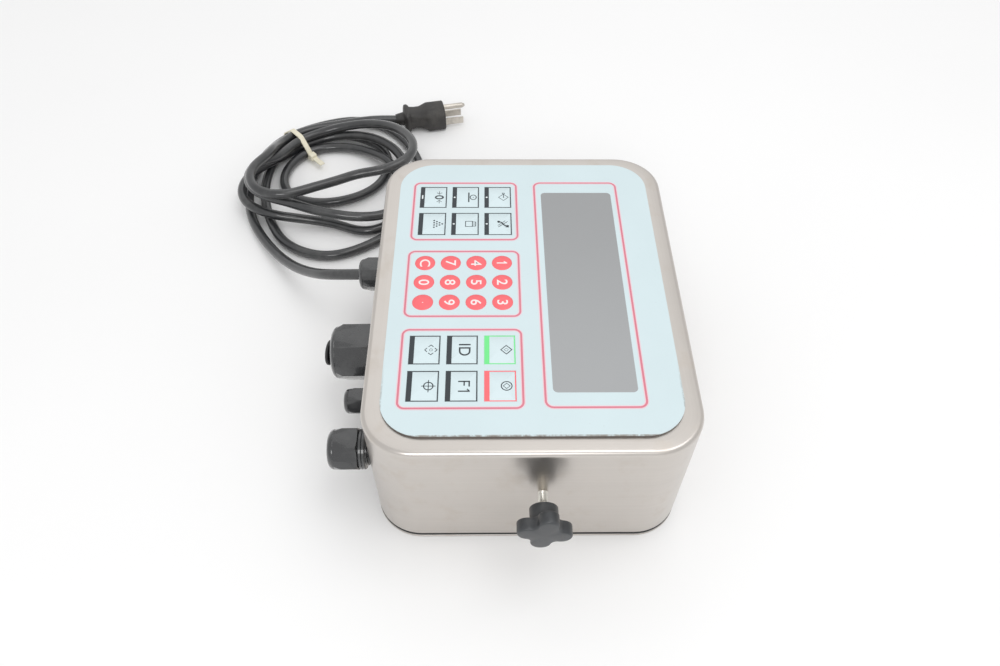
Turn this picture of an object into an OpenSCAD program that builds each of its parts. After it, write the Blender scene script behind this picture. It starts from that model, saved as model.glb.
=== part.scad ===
// Weighing indicator lying on its back, in millimetres.
// Z points out of the front panel, X to the object's right, Y to its top edge.
// The origin is the centre of the rear cover's outer face.

/* [Case] */
// Case width at the top of the shell
case_width = 256; // [230:1:300]
// Case height at the top of the shell
case_height = 196; // [180:1:240]
// Depth of the drawn shell
shell_depth = 96; // [88:1:130]
// Radius of the case's corners at the top
corner_r = 31; // [26:0.5:36]
// Rounding of the top edge
rim_r = 3; // [2:0.5:6]
// How far each wall leans in at the rear
wall_lean = 1.77; // [0.5:0.01:3]
// Sheet thickness of the shell
wall = 1.5; // [1:0.1:2]
// Width of the flange that the rear cover is screwed to
flange_width = 15; // [13:1:20]
// Corner radius of the rear opening
opening_r = 16; // [8:1:20]
// Thickness of the rear cover
cover_t = 2; // [1.5:0.1:3]
// Thickness of the rear gasket
gasket_t = 2.2; // [1:0.1:3]
// Radius of a rear screw's shank
screw_r = 1.75; // [1.5:0.05:2]
// Radius of a rear screw's countersunk head
screw_head_r = 3.3; // [3:0.1:3.6]
// Height of a rear screw's countersunk head
screw_head_h = 1.7; // [1:0.1:1.9]
// Length of a rear screw
screw_length = 9; // [8:0.5:12]
// Distance of the rear screws from the shell's outer edge
screw_inset = 8.5; // [7:0.5:9]

/* [Front panel] */
// Width of the printed overlay
overlay_width = 234; // [220:1:240]
// Height of the printed overlay
overlay_height = 174; // [166:1:180]
// Corner radius of the overlay
overlay_r = 24.3; // [15:0.1:28]
// Thickness of the overlay and of the key pads
overlay_t = 0.5; // [0.4:0.05:0.6]
// Thickness of the switch layers under the overlay
base_t = 1.3; // [1.2:0.05:2]
// Width of the display window
window_width = 173.8; // [120:0.1:180]
// Height of the display window
window_height = 49.2; // [40:0.1:54]
// Corner radius of the display window
window_r = 3; // [1:0.5:5]
// Rim that the window rests on, on each side
window_rim = 3; // [2:0.5:5]
// Place of the window's centre along X
window_x = 0.6; // [-3:0.1:3]
// Place of the window's centre along Y
window_y = 36.6; // [34:0.1:38]

/* [Number keys] */
// Radius of a round key
key_r = 6.4; // [5:0.1:7]
// Distance between the columns of round keys
key_step_x = 17.25; // [16:0.05:17.5]
// Distance between the rows of round keys
key_step_y = 16.7; // [16:0.05:17]
// Place of the middle column along X
key_mid_x = 0.4; // [-1:0.1:1]
// Place of the top row along Y
key_top_y = -16.1; // [-17:0.1:-15]
// Gap between a key pad and the overlay round it
key_gap = 0.2; // [0.15:0.05:0.3]
// Travel of a key
key_travel = 0.4; // [0.3:0.05:0.4]
// Height of a snap dome
dome_h = 0.3; // [0.2:0.05:0.35]
// Radius of a snap dome
dome_r = 4; // [3:0.1:4.5]

/* [Function keys] */
// Width of a function key
fkey_width = 21.8; // [20:0.1:24]
// Height of a function key
fkey_height = 18.4; // [16:0.1:20]
// Distance from the overlay's left and right edge to the outer columns
fkey_inset = [35.5, 34.3];
// Distance between the two columns of the left and of the right group
fkey_step_x = [27.3, 26.8];
// Place of the top row along Y
fkey_top_y = -18.3; // [-19:0.1:-17]
// Distance between the rows
fkey_step_y = 22.45; // [21:0.05:23]

/* [Clamping knobs] */
// Height of the knobs' axis over the rear face
knob_z = 58; // [50:0.5:64]
// Place of the knobs' axis along Y
knob_y = 6.5; // [-10:0.5:20]
// Outer radius of a knob's lobes
knob_r = 16.2; // [14:0.1:18]
// Radius of one lobe
lobe_r = 6; // [5:0.1:7]
// Radius of the valleys between the lobes
valley_r = 10.5; // [9:0.1:12]
// Thickness of the lobed head
head_t = 8.2; // [6:0.1:10]
// Radius of the hub
hub_r = 8.4; // [7:0.1:10]
// Length of the hub
hub_length = 9.5; // [7:0.1:12]
// Bare stud between the wall and the hub
hub_gap = 10.3; // [9:0.1:14]
// Radius of the stud
stud_r = 3; // [2.5:0.1:4]
// Length of the stud inside the wall
stud_inside = 13; // [12:0.5:16]
// Length of the stud inside the hub
stud_in_hub = 8; // [6:0.5:10]
// Turn of the lobes about the axis, in degrees
lobe_turn = 79; // [0:1:89]
// Radius of a threaded side insert
insert_r = 7; // [6:0.5:9]
// Length of a side insert
insert_length = 9; // [8:0.5:11]
// Side of an insert's welded plate
insert_plate = 30; // [24:1:36]
// Thickness of an insert's welded plate
insert_plate_t = 2; // [1.5:0.1:3]

/* [Cable glands] */
// Height of the glands' axes over the rear face
gland_z = 49; // [45:0.5:55]
// Distance of each gland's axis from the case's right side: power, large, small, medium
gland_insets = [186.2, 113.2, 72.7, 36.5];
// Thread radius of each gland
gland_thread_r = [8, 12.5, 6, 10];
// Width across the flats of each gland
gland_flats = [22, 35, 16, 25];
// Distance of each gland's flange from the wall
gland_seat = [0, 0, 0, 3];
// Thickness of each gland's flange
gland_flange_t = [4.2, 5.5, 4, 4.2];
// Reach of each gland from the wall
gland_reach = [21.6, 32.8, 20.4, 26.3];
// Height of each gland cap's dome
gland_dome = [5.4, 6.6, 5.4, 7];
// Radius of each gland cap's mouth
gland_mouth_r = [4.6, 7.4, 3.4, 6.2];
// Radius of the hole through each gland's seal
seal_bore_r = [3.85, 5, 2.5, 5];
// Length of the gland threads inside the wall
thread_inside = 10; // [8:0.5:12]
// Thickness of the locknuts
locknut_t = 5; // [4:0.5:6]
// Distance of each locknut from the inside of the wall
locknut_seat = [0.2, 0.2, 0.2, 1.8];
// Radius of the blanking plug's head
plug_head_r = 8.5; // [7.8:0.1:10]
// Thickness of the blanking plug's head
plug_head_t = 2; // [1.5:0.1:3]
// Tilt of the blanking plug's head in degrees
plug_head_tilt = 8; // [0:1:10]

/* [Mains lead] */
// Radius of the mains lead
cord_r = 4; // [3:0.1:4.5]
// Width of the bundle's tie along the lead
tie_width = 4.8; // [3:0.1:8]
// Thickness of the tie
tie_t = 1.4; // [1:0.1:2]

/* [Plug] */
// Length of the plug's body
plug_length = 38; // [30:1:44]
// Width of the plug's body
plug_width = 26; // [24:0.5:30]
// Thickness of the plug's body
plug_thickness = 22; // [21:0.5:24]
// Length of the plug's strain relief
relief_length = 8; // [6:1:20]
// Radius of the strain relief at the plug's body
relief_r = 6.4; // [5.5:0.1:8]
// Length of the two flat blades
blade_length = 17.5; // [16:0.1:18.5]
// Width of a flat blade
blade_width = 6.35; // [6:0.05:6.6]
// Thickness of a flat blade
blade_t = 1.5; // [1.4:0.1:1.7]
// Distance between the flat blades
blade_pitch = 12.7; // [12.5:0.1:12.9]
// Distance of the ground pin from the blades' line
pin_offset = 11.9; // [11.5:0.1:12.1]
// Radius of the ground pin
pin_r = 2.4; // [2.2:0.05:2.5]
// Length of the ground pin
pin_length = 20; // [19:0.5:21]

/* [Inside] */
// Thickness of the circuit boards
board_t = 1.6; // [1.2:0.1:2]
// Clearance between the main board and the case's flange
flange_clearance = 10; // [8:0.5:20]
// Clearance between the main board and the transformer's winding
winding_clearance = 13.5; // [6:0.5:20]
// Size of the main board along Y
main_board_height = 84; // [70:1:90]
// Height of the main board over the rear cover
main_board_rise = 12; // [8:1:16]
// Centre of the main board along Y
main_board_y = -12; // [-16:1:-8]
// Size of the display board along X
display_board_width = 194; // [184:1:200]
// Size of the display board along Y
display_board_height = 62; // [58:1:66]
// Distance of the display board below the front panel
display_board_drop = 10.5; // [9:0.5:14]
// Size of the display glass along X
glass_width = 178; // [174:1:180]
// Size of the display glass along Y
glass_height = 52; // [50:0.5:54]
// Gap between the display glass and the front panel
glass_gap = 0.8; // [0.5:0.1:2]
// Radius of the board standoffs
standoff_r = 2.75; // [2.5:0.05:3.5]
// Inset of the standoffs from the boards' edges
standoff_inset = 3.4; // [3:0.1:5]
// Radius of the board screws' heads
board_head_r = 2.6; // [2.4:0.1:3]
// Height of the board screws' heads
board_head_h = 1.9; // [1.5:0.1:2.5]
// Transformer core along X
core_x = 34; // [28:1:40]
// Transformer core along Y
core_y = 48; // [40:1:54]
// Transformer core height
core_h = 40; // [34:1:46]
// Transformer centre along X
core_at_x = -86; // [-90:1:-80]
// Transformer centre along Y
core_at_y = 22; // [10:1:30]
// Width of the keypad's ribbon
ribbon_width = 22; // [16:1:26]
// Thickness of the keypad's ribbon
ribbon_t = 0.3; // [0.2:0.05:0.4]
// Place of the ribbon's slot along Y
ribbon_y = 1; // [0:0.5:2]

/* [Hidden] */
// Gland places along X, tied to the case's right side
gland_places = [for (inset = gland_insets) case_width / 2 - inset];
// Overrun of every cut past the face it opens
over = 1;
// Facets of the case's corners
corner_fn = 64;
// Facets of the round keys
key_fn = 32;
// Facets of screws and other small rounds
small_fn = 20;
// Facets of glands and knobs
round_fn = 36;
// Steps of the rim's rounding and of a gland's dome
arc_steps = 4;
// Clearance between pieces of one assembly
fit_gap = 0.1;
// Radial clearance of the studs in their bores
run_gap = 0.05;
// Clearance of the studs in the walls
wall_gap = 0.3;

// Centre of the bundle on the floor, and its outer reach along X and Y
coil_centre = [-229, -167];
coil_reach = [68, 72];
// Spacing of the bundle's turns, and height of its second layer over the first
coil_pitch = 12;
coil_layer = 8.7;
// Turns of the bundle, and the turn at which it begins to climb
coil_turns = 4.306;
climb_from = 2;
// Angle at which the bundle starts, in degrees
coil_start = -70;
// Angle at which the tie holds the bundle, and how far it pulls the turns in
tie_angle = 222;
tie_pull = 0.17;
// Reach of the free loop from the bundle's centre at the tie
loop_at_tie = 66;
// Rings of the bundle in one turn, and its sides
coil_rings = 24;
coil_sides = 6;
cord_sides = 10;
// Steps between two points of the lead's route
route_steps = 2;
// Distances along the power gland's axis that the lead passes through
gland_run = [5, 14, 25];
// The lead from the gland round the bundle
loop_route = [[-60.5, -132, 46], [-67, -146, 39.5], [-80, -160, 29], [-99, -178, 17],
              [-121, -197, 8.5], [-142, -214, 5], [-163, -228, 4], [-185, -240, 4],
              [-208, -246, 4], [-232, -243.5, 5], [-254, -233, 5.8], [-273, -217, 5.8],
              [-289, -198, 4.6], [-301, -175, 4], [-306, -152, 4], [-300, -130, 4],
              [-284, -110, 4], [-259, -94, 4], [-228, -84.5, 4], [-196, -86, 4],
              [-168, -97, 4], [-144, -116, 4], [-128, -141, 4], [-124, -168, 4],
              [-133, -192, 4], [-152, -210, 4], [-176, -223.5, 4]];
// The lead from the bundle over the loop to the plug
plug_route = [[-291.5, -150, 12.9], [-295, -134, 12.9], [-296.5, -122, 12.2]];
// Rear end of the plug's strain relief, and the turn of the plug about Z
plug_at = [-298, -112, 11];
plug_turn = 12;

shell_z = cover_t + gasket_t;
panel_z = shell_z + shell_depth;
base_z = panel_z + base_t;
top_z = base_z + overlay_t;
lean_angle = atan(wall_lean / shell_depth);
// Depth of the pocket under a key: its travel, the dome and a clearance
pocket_depth = key_travel + dome_h + fit_gap;
screw_span_x = case_width / 2 - wall_lean - screw_inset;
screw_span_y = case_height / 2 - wall_lean - screw_inset;
// Shares of the screws' span: places along the long sides and along the short sides
long_side_shares = [-0.68, -0.23, 0.23, 0.68];
short_side_shares = [-0.62, 0, 0.62];
fkey_outer_x = [fkey_inset[0] - overlay_width / 2, overlay_width / 2 - fkey_inset[1]];
// Places of the four columns along X
fkey_columns = [fkey_outer_x[0], fkey_outer_x[0] + fkey_step_x[0],
                fkey_outer_x[1] - fkey_step_x[1], fkey_outer_x[1]];
main_board_z = cover_t + main_board_rise;
// The winding stands out of the transformer's core by a quarter of the core's width
winding_half = core_x * 3 / 4;
main_board_left = core_at_x + winding_half + winding_clearance;
main_board_right = case_width / 2 - flange_width - flange_clearance;
main_board_width = main_board_right - main_board_left;
main_board_x = (main_board_left + main_board_right) / 2;
display_board_z = panel_z - wall - display_board_drop - board_t;
key_names = ["key_1", "key_2", "key_3", "key_4", "key_5", "key_6",
             "key_7", "key_8", "key_9", "key_clear", "key_0", "key_point"];
// Function keys, each column from its top down
fkey_names = ["key_tare", "key_print", "key_zero",
              "key_select", "key_units", "key_sample",
              "key_start", "key_identity", "key_setup",
              "key_stop", "key_function", "key_target"];

// Sub-part to draw

// Places of the keys and of the walls

function key_place(i) = [key_mid_x + (i % 3 - 1) * key_step_x, key_top_y - floor(i / 3) * key_step_y];
function fkey_place(i) = [fkey_columns[floor(i / 3)], fkey_top_y - (i % 3) * fkey_step_y];
function lean_in(z) = wall_lean * (panel_z - z) / shell_depth;

// Outline of a leaning wall with a rounded top, from the middle out
function lean_profile(half, depth, lean, edge) =
    let (a = atan(lean / depth),
         arc_z = depth - edge,
         arc_x = half - lean + lean * arc_z / depth - edge / cos(a))
    concat([[0, 0], [half - lean, 0]],
           [for (i = [0 : arc_steps])
                let (t = -a + (90 + a) * i / arc_steps)
                [arc_x + edge * cos(t), arc_z + edge * sin(t)]],
           [[0, depth]]);

module mirrored_profile(points) {
    polygon(points);
    mirror([1, 0]) polygon(points);
}

// Rounded box with leaning walls, wider at the top
module lean_box(half_x, half_y, r, depth, lean, edge) {
    straight_x = half_x - r;
    straight_y = half_y - r;
    rotate([90, 0, 0])
        linear_extrude(height = 2 * straight_y, center = true)
            mirrored_profile(lean_profile(half_x, depth, lean, edge));
    rotate([90, 0, 90])
        linear_extrude(height = 2 * straight_x, center = true)
            mirrored_profile(lean_profile(half_y, depth, lean, edge));
    for (quarter = [0 : 3]) {
        sx = quarter == 0 || quarter == 3 ? 1 : -1;
        sy = quarter < 2 ? 1 : -1;
        translate([sx * straight_x, sy * straight_y, 0])
            rotate([0, 0, 90 * quarter])
                rotate_extrude(angle = 90, $fn = corner_fn)
                    polygon(lean_profile(r, depth, lean, edge));
    }
}

module round_rect(w, h, r) {
    square([w - 2 * r, h], center = true);
    square([w, h - 2 * r], center = true);
    for (sx = [-1, 1], sy = [-1, 1])
        translate([sx * (w / 2 - r), sy * (h / 2 - r)])
            circle(r, $fn = corner_fn);
}

module round_plate(w, h, r, t) {
    linear_extrude(height = t)
        round_rect(w, h, r);
}

module tube(r_out, r_in, h) {
    difference() {
        cylinder(r = r_out, h = h);
        translate([0, 0, -over])
            cylinder(r = r_in, h = h + 2 * over);
    }
}

// Frames on the drafted walls, with local Z pointing out of the wall
module on_lower_wall(x) {
    translate([x, -(case_height / 2 - lean_in(gland_z)), gland_z])
        rotate([90 + lean_angle, 0, 0])
            children();
}

module on_right_wall() {
    translate([case_width / 2 - lean_in(knob_z), knob_y, knob_z])
        rotate([0, 90 + lean_angle, 0])
            children();
}

// Case

module housing() {
    inner_depth = shell_depth - 2 * wall;
    inner_lean = wall_lean * inner_depth / shell_depth;
    inset = wall / cos(lean_angle) + wall_lean * wall / shell_depth;
    color([0.85, 0.84, 0.82])
        difference() {
            translate([0, 0, shell_z])
                lean_box(case_width / 2, case_height / 2, corner_r, shell_depth, wall_lean, rim_r);
            translate([0, 0, shell_z + wall])
                lean_box(case_width / 2 - inset, case_height / 2 - inset, corner_r - inset,
                         inner_depth, inner_lean, rim_r - wall);
            translate([0, 0, shell_z - over])
                rear_opening(wall + 2 * over);
            translate([window_x, window_y, panel_z - wall - over])
                round_plate(window_width - 2 * window_rim, window_height - 2 * window_rim,
                            window_r, wall + 2 * over);
            translate([key_mid_x, ribbon_y, panel_z - wall / 2])
                cube([ribbon_width + 2 * over, 3 * over, wall + 2 * over], center = true);
            for (i = [0 : 3])
                on_lower_wall(gland_places[i])
                    translate([0, 0, -flange_width])
                        cylinder(r = gland_thread_r[i] + wall_gap, h = 2 * flange_width, $fn = round_fn);
            for (side = [0, 1])
                mirror([side, 0, 0])
                    on_right_wall()
                        translate([0, 0, -flange_width])
                            cylinder(r = stud_r + wall_gap, h = 2 * flange_width, $fn = small_fn);
            at_rear_screws()
                translate([0, 0, shell_z - over])
                    cylinder(r = screw_r + fit_gap, h = wall + 2 * over, $fn = small_fn);
        }
}

module rear_opening(t) {
    round_plate(case_width - 2 * wall_lean - 2 * flange_width,
                case_height - 2 * wall_lean - 2 * flange_width, opening_r, t);
}

module rear_outline(t) {
    round_plate(case_width - 2 * wall_lean, case_height - 2 * wall_lean, corner_r - wall_lean, t);
}

module at_rear_screws() {
    for (share = long_side_shares, side = [-1, 1])
        translate([share * screw_span_x, side * screw_span_y, 0])
            children();
    for (share = short_side_shares, side = [-1, 1])
        translate([side * screw_span_x, share * screw_span_y, 0])
            children();
}

module rear_gasket() {
    color([0.08, 0.08, 0.08])
        difference() {
            translate([0, 0, cover_t])
                rear_outline(gasket_t);
            translate([0, 0, cover_t - over])
                rear_opening(gasket_t + 2 * over);
            at_rear_screws()
                translate([0, 0, cover_t - over])
                    cylinder(r = screw_r + fit_gap, h = gasket_t + 2 * over, $fn = small_fn);
        }
}

module rear_cover() {
    color([0.82, 0.81, 0.79])
        difference() {
            rear_outline(cover_t);
            at_rear_screws() {
                translate([0, 0, -over])
                    cylinder(r = screw_r + fit_gap, h = cover_t + 2 * over, $fn = small_fn);
                cylinder(r1 = screw_head_r + fit_gap, r2 = screw_r + fit_gap,
                         h = screw_head_h, $fn = small_fn);
            }
        }
}

module rear_cover_screws() {
    color([0.75, 0.74, 0.72])
        at_rear_screws()
            difference() {
                union() {
                    cylinder(r1 = screw_head_r, r2 = screw_r, h = screw_head_h, $fn = small_fn);
                    cylinder(r = screw_r, h = screw_length, $fn = small_fn);
                }
                translate([0, 0, -over])
                    cylinder(r = screw_r * 0.75, h = screw_head_h * 0.6 + over, $fn = 6);
            }
}

// Front panel

module overlay() {
    color([0.85, 0.92, 0.93])
        difference() {
            translate([0, 0, base_z])
                round_plate(overlay_width, overlay_height, overlay_r, overlay_t);
            translate([window_x, window_y, base_z - over])
                round_plate(window_width, window_height, window_r, overlay_t + 2 * over);
            for (i = [0 : 11]) {
                translate([key_place(i).x, key_place(i).y, base_z - over])
                    cylinder(r = key_r + key_gap, h = overlay_t + 2 * over, $fn = key_fn);
                translate([fkey_place(i).x, fkey_place(i).y, base_z])
                    cube([fkey_width + 2 * key_gap, fkey_height + 2 * key_gap,
                          2 * overlay_t + over], center = true);
            }
        }
}

module membrane_base() {
    color([0.35, 0.28, 0.24])
        difference() {
            translate([0, 0, panel_z])
                round_plate(overlay_width, overlay_height, overlay_r, base_t);
            translate([window_x, window_y, panel_z - over])
                round_plate(window_width, window_height, window_r, base_t + 2 * over);
            translate([key_mid_x, ribbon_y, panel_z])
                cube([ribbon_width + 2 * fit_gap, 2 * ribbon_t + 2 * fit_gap, base_t],
                     center = true);
            for (i = [0 : 11]) {
                translate([key_place(i).x, key_place(i).y, base_z - pocket_depth])
                    cylinder(r = key_r + key_gap, h = pocket_depth + over, $fn = key_fn);
                translate([fkey_place(i).x, fkey_place(i).y, base_z])
                    cube([fkey_width + 2 * key_gap, fkey_height + 2 * key_gap,
                          2 * pocket_depth], center = true);
            }
        }
}

module key_domes() {
    color([0.8, 0.8, 0.82])
        for (place = [for (i = [0 : 11]) key_place(i), for (i = [0 : 11]) fkey_place(i)])
            translate([place.x, place.y, base_z - pocket_depth])
                cylinder(r1 = dome_r, r2 = dome_r / 2, h = dome_h, $fn = 14);
}

module round_key(i) {
    color([0.88, 0.93, 0.94])
        translate([key_place(i).x, key_place(i).y, base_z])
            cylinder(r = key_r, h = overlay_t, $fn = key_fn);
}

module function_key(i) {
    color([0.86, 0.92, 0.93])
        translate([fkey_place(i).x - fkey_width / 2, fkey_place(i).y - fkey_height / 2, base_z])
            cube([fkey_width, fkey_height, overlay_t]);
}

module display_window() {
    color([0.65, 0.65, 0.65])
        translate([window_x, window_y, panel_z])
            round_plate(window_width, window_height, window_r, base_t + overlay_t);
}

// Display and boards

module display_glass() {
    color([0.3, 0.32, 0.3])
        translate([window_x, window_y, display_board_z + board_t])
            round_plate(glass_width, glass_height, window_r, display_board_drop - glass_gap);
}

// Four places near the corners of a board
module at_board_corners(w, h) {
    for (sx = [-1, 1], sy = [-1, 1])
        translate([sx * (w / 2 - standoff_inset), sy * (h / 2 - standoff_inset), 0])
            children();
}

module bare_board(w, h) {
    difference() {
        translate([-w / 2, -h / 2, 0])
            cube([w, h, board_t]);
        at_board_corners(w, h)
            translate([0, 0, -over])
                cylinder(r = standoff_r / 2 + fit_gap, h = board_t + 2 * over, $fn = small_fn);
    }
}

module display_board() {
    driver = [core_y, standoff_r * 6, standoff_r];
    color([0.1, 0.35, 0.2])
        translate([window_x, window_y, display_board_z]) {
            bare_board(display_board_width, display_board_height);
            for (side = [-1, 1])
                translate([side * driver.x - driver.x / 2, -driver.y / 2, -driver.z])
                    cube(driver);
        }
}

// Parts on the main board: place on the board and size, as shares of its width, height and rise
board_part_shares = [
    [-0.37, 0.10, 0.10, 0.18, 0.30],
    [0.02, -0.02, 0.20, 0.30, 0.25],
    [0.30, 0.05, 0.14, 0.24, 0.40],
    [0.36, 0.36, 0.12, 0.14, 0.80],
    [-0.32, 0.34, 0.16, 0.12, 0.90]
];

module main_board() {
    size = [main_board_width, main_board_height, main_board_rise];
    color([0.12, 0.38, 0.22])
        translate([main_board_x, main_board_y, main_board_z]) {
            bare_board(size.x, size.y);
            for (part = board_part_shares)
                translate([(part[0] - part[2] / 2) * size.x, (part[1] - part[3] / 2) * size.y, board_t])
                    cube([part[2] * size.x, part[3] * size.y, part[4] * size.z]);
        }
    color([0.9, 0.9, 0.88])
        ribbon_socket();
}

// Socket on the main board that the keypad's ribbon goes into
module ribbon_socket() {
    depth = 4 * board_t;
    difference() {
        translate([key_mid_x - ribbon_width / 2 - board_t, ribbon_y - depth / 2, main_board_z + board_t])
            cube([ribbon_width + 2 * board_t, depth, main_board_rise / 2]);
        translate([key_mid_x - ribbon_width / 2 - fit_gap, ribbon_y - ribbon_t - fit_gap,
                   main_board_z + 2 * board_t])
            cube([ribbon_width + 2 * fit_gap, 2 * ribbon_t + 2 * fit_gap, main_board_rise]);
    }
}

module terminal_blocks() {
    block = [main_board_width / 6, main_board_height / 8, main_board_rise];
    color([0.15, 0.5, 0.25])
        for (i = [0 : 3])
            translate([main_board_x - main_board_width / 2 + (1.3 * i + 0.6) * block.x,
                       main_board_y - main_board_height / 2 + block.y / 2,
                       main_board_z + board_t])
                difference() {
                    cube(block);
                    for (way = [0 : 2])
                        translate([(way + 0.5) * block.x / 3, block.y / 2, block.z / 2])
                            cylinder(r = standoff_r / 2, h = block.z, $fn = 16);
                }
}

module board_standoffs() {
    color([0.8, 0.78, 0.7]) {
        translate([main_board_x, main_board_y, cover_t])
            at_board_corners(main_board_width, main_board_height)
                difference() {
                    cylinder(r = standoff_r, h = main_board_rise, $fn = small_fn);
                    translate([0, 0, main_board_rise / 2])
                        cylinder(r = standoff_r / 2 + fit_gap, h = main_board_rise, $fn = small_fn);
                }
        translate([window_x, window_y, display_board_z + board_t])
            at_board_corners(display_board_width, display_board_height)
                difference() {
                    cylinder(r = standoff_r, h = display_board_drop, $fn = small_fn);
                    translate([0, 0, -over])
                        cylinder(r = standoff_r / 2 + fit_gap, h = display_board_drop / 2 + over,
                                 $fn = small_fn);
                }
    }
}

module board_screw() {
    cylinder(r = board_head_r, h = board_head_h, $fn = small_fn);
    translate([0, 0, -board_t - main_board_rise / 3])
        cylinder(r = standoff_r / 2, h = board_t + main_board_rise / 3, $fn = small_fn);
}

module board_screws() {
    color([0.75, 0.74, 0.72]) {
        translate([main_board_x, main_board_y, main_board_z + board_t])
            at_board_corners(main_board_width, main_board_height)
                board_screw();
        translate([window_x, window_y, display_board_z])
            at_board_corners(display_board_width, display_board_height)
                mirror([0, 0, 1])
                    board_screw();
    }
}

module transformer() {
    color([0.3, 0.3, 0.32])
        translate([core_at_x - core_x / 2, core_at_y - core_y / 2, cover_t])
            cube([core_x, core_y, core_h]);
    color([0.75, 0.65, 0.3])
        translate([core_at_x - winding_half, core_at_y - core_y / 4, cover_t + core_h / 6])
            cube([2 * winding_half, core_y / 2, core_h * 2 / 3]);
    color([0.7, 0.7, 0.7])
        translate([core_at_x - core_x / 4, core_at_y - core_y * 0.7, cover_t])
            cube([core_x / 2, core_y * 1.4, cover_t]);
}

// Flat ribbon with one slack fold, as a list of its middle line's points from the top down
module keypad_ribbon() {
    top = panel_z;
    bottom = main_board_z + 2 * board_t + fit_gap;
    fall = top - bottom;
    fold = fall / 7;
    line = [[0, top], [0, top - 0.15 * fall], [-fold, top - 0.4 * fall],
            [-fold, top - 0.6 * fall], [0, top - 0.85 * fall], [0, bottom]];
    last = len(line) - 1;
    outline = concat([for (i = [0 : last]) [line[i].x - ribbon_t / 2, line[i].y]],
                     [for (i = [last : -1 : 0]) [line[i].x + ribbon_t / 2, line[i].y]]);
    color([0.9, 0.88, 0.8])
        translate([key_mid_x, ribbon_y, 0])
            rotate([90, 0, 90])
                linear_extrude(height = ribbon_width, center = true)
                    polygon(outline);
}

// Clamping knobs, drawn on the right wall and mirrored for the left

module side_insert() {
    on_right_wall() {
        translate([-insert_plate / 2, -insert_plate / 2, -wall - fit_gap - insert_plate_t])
            difference() {
                cube([insert_plate, insert_plate, insert_plate_t]);
                translate([insert_plate / 2, insert_plate / 2, -over])
                    cylinder(r = stud_r + run_gap, h = insert_plate_t + 2 * over, $fn = small_fn);
            }
        translate([0, 0, -wall - fit_gap - insert_length])
            tube(insert_r, stud_r + run_gap, insert_length, $fn = small_fn);
    }
}

module side_inserts() {
    color([0.72, 0.7, 0.66]) {
        side_insert();
        mirror([1, 0, 0])
            side_insert();
    }
}

module knob_stud() {
    color([0.8, 0.78, 0.74])
        on_right_wall()
            translate([0, 0, -stud_inside])
                cylinder(r = stud_r, h = stud_inside + hub_gap + stud_in_hub, $fn = small_fn);
}

// Outline of the lobed head: lobes joined by hollows that touch them
module lobed_outline() {
    lobe_at = knob_r - lobe_r;
    bite = valley_r - lobe_r;
    hollow_at = (lobe_at * lobe_at - bite * bite) / (sqrt(2) * lobe_at - 2 * bite);
    corners = [for (i = [0 : 7])
                   let (reach = i % 2 == 0 ? lobe_at : hollow_at)
                   [reach * cos(45 * i), reach * sin(45 * i)]];
    for (i = [0 : 3])
        rotate(90 * i)
            translate([lobe_at, 0])
                circle(lobe_r, $fn = round_fn);
    difference() {
        polygon(corners);
        for (i = [0 : 3])
            rotate(90 * i + 45)
                translate([hollow_at, 0])
                    circle(hollow_at - valley_r, $fn = round_fn);
    }
}

module knob() {
    color([0.12, 0.13, 0.14])
        on_right_wall()
            difference() {
                union() {
                    translate([0, 0, hub_gap])
                        cylinder(r = hub_r, h = hub_length + head_t / 2, $fn = round_fn);
                    translate([0, 0, hub_gap + hub_length])
                        rotate([0, 0, lobe_turn])
                            linear_extrude(height = head_t)
                                lobed_outline();
                }
                translate([0, 0, hub_gap - over])
                    cylinder(r = stud_r + run_gap, h = stud_in_hub + wall_gap + over, $fn = small_fn);
            }
}

module knob_stud_right() {
    knob_stud();
}

module knob_stud_left() {
    mirror([1, 0, 0])
        knob_stud();
}

module knob_right() {
    knob();
}

module knob_left() {
    mirror([1, 0, 0])
        knob();
}

// Cable glands: i is 0 power, 1 large, 2 small, 3 medium

function gland_corner_r(i) = gland_flats[i] / 2 / cos(30);
function gland_neck_r(i) = gland_flats[i] * 0.40;
function gland_cap_z(i) = gland_seat[i] + gland_flange_t[i] + 4 * fit_gap;
function gland_shoulder_z(i) = gland_reach[i] - gland_dome[i];
function gland_seal_r(i) = gland_neck_r(i) * 0.84;

module gland_body(i) {
    neck_top = gland_shoulder_z(i) - fit_gap;
    color([0.11, 0.11, 0.12])
        on_lower_wall(gland_places[i])
            difference() {
                union() {
                    translate([0, 0, -thread_inside])
                        cylinder(r = gland_thread_r[i], h = thread_inside + gland_seat[i] + over,
                                 $fn = round_fn);
                    translate([0, 0, gland_seat[i]])
                        cylinder(r = gland_flats[i] / 2, h = gland_flange_t[i], $fn = round_fn);
                    translate([0, 0, gland_seat[i]])
                        cylinder(r = gland_neck_r(i), h = neck_top - gland_seat[i], $fn = round_fn);
                }
                translate([0, 0, -thread_inside - over])
                    cylinder(r = seal_bore_r[i] + 3 * over / 2, h = neck_top + thread_inside + 2 * over,
                             $fn = small_fn);
                translate([0, 0, gland_cap_z(i)])
                    cylinder(r = gland_seal_r(i) + fit_gap / 2, h = neck_top, $fn = round_fn);
            }
}

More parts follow.
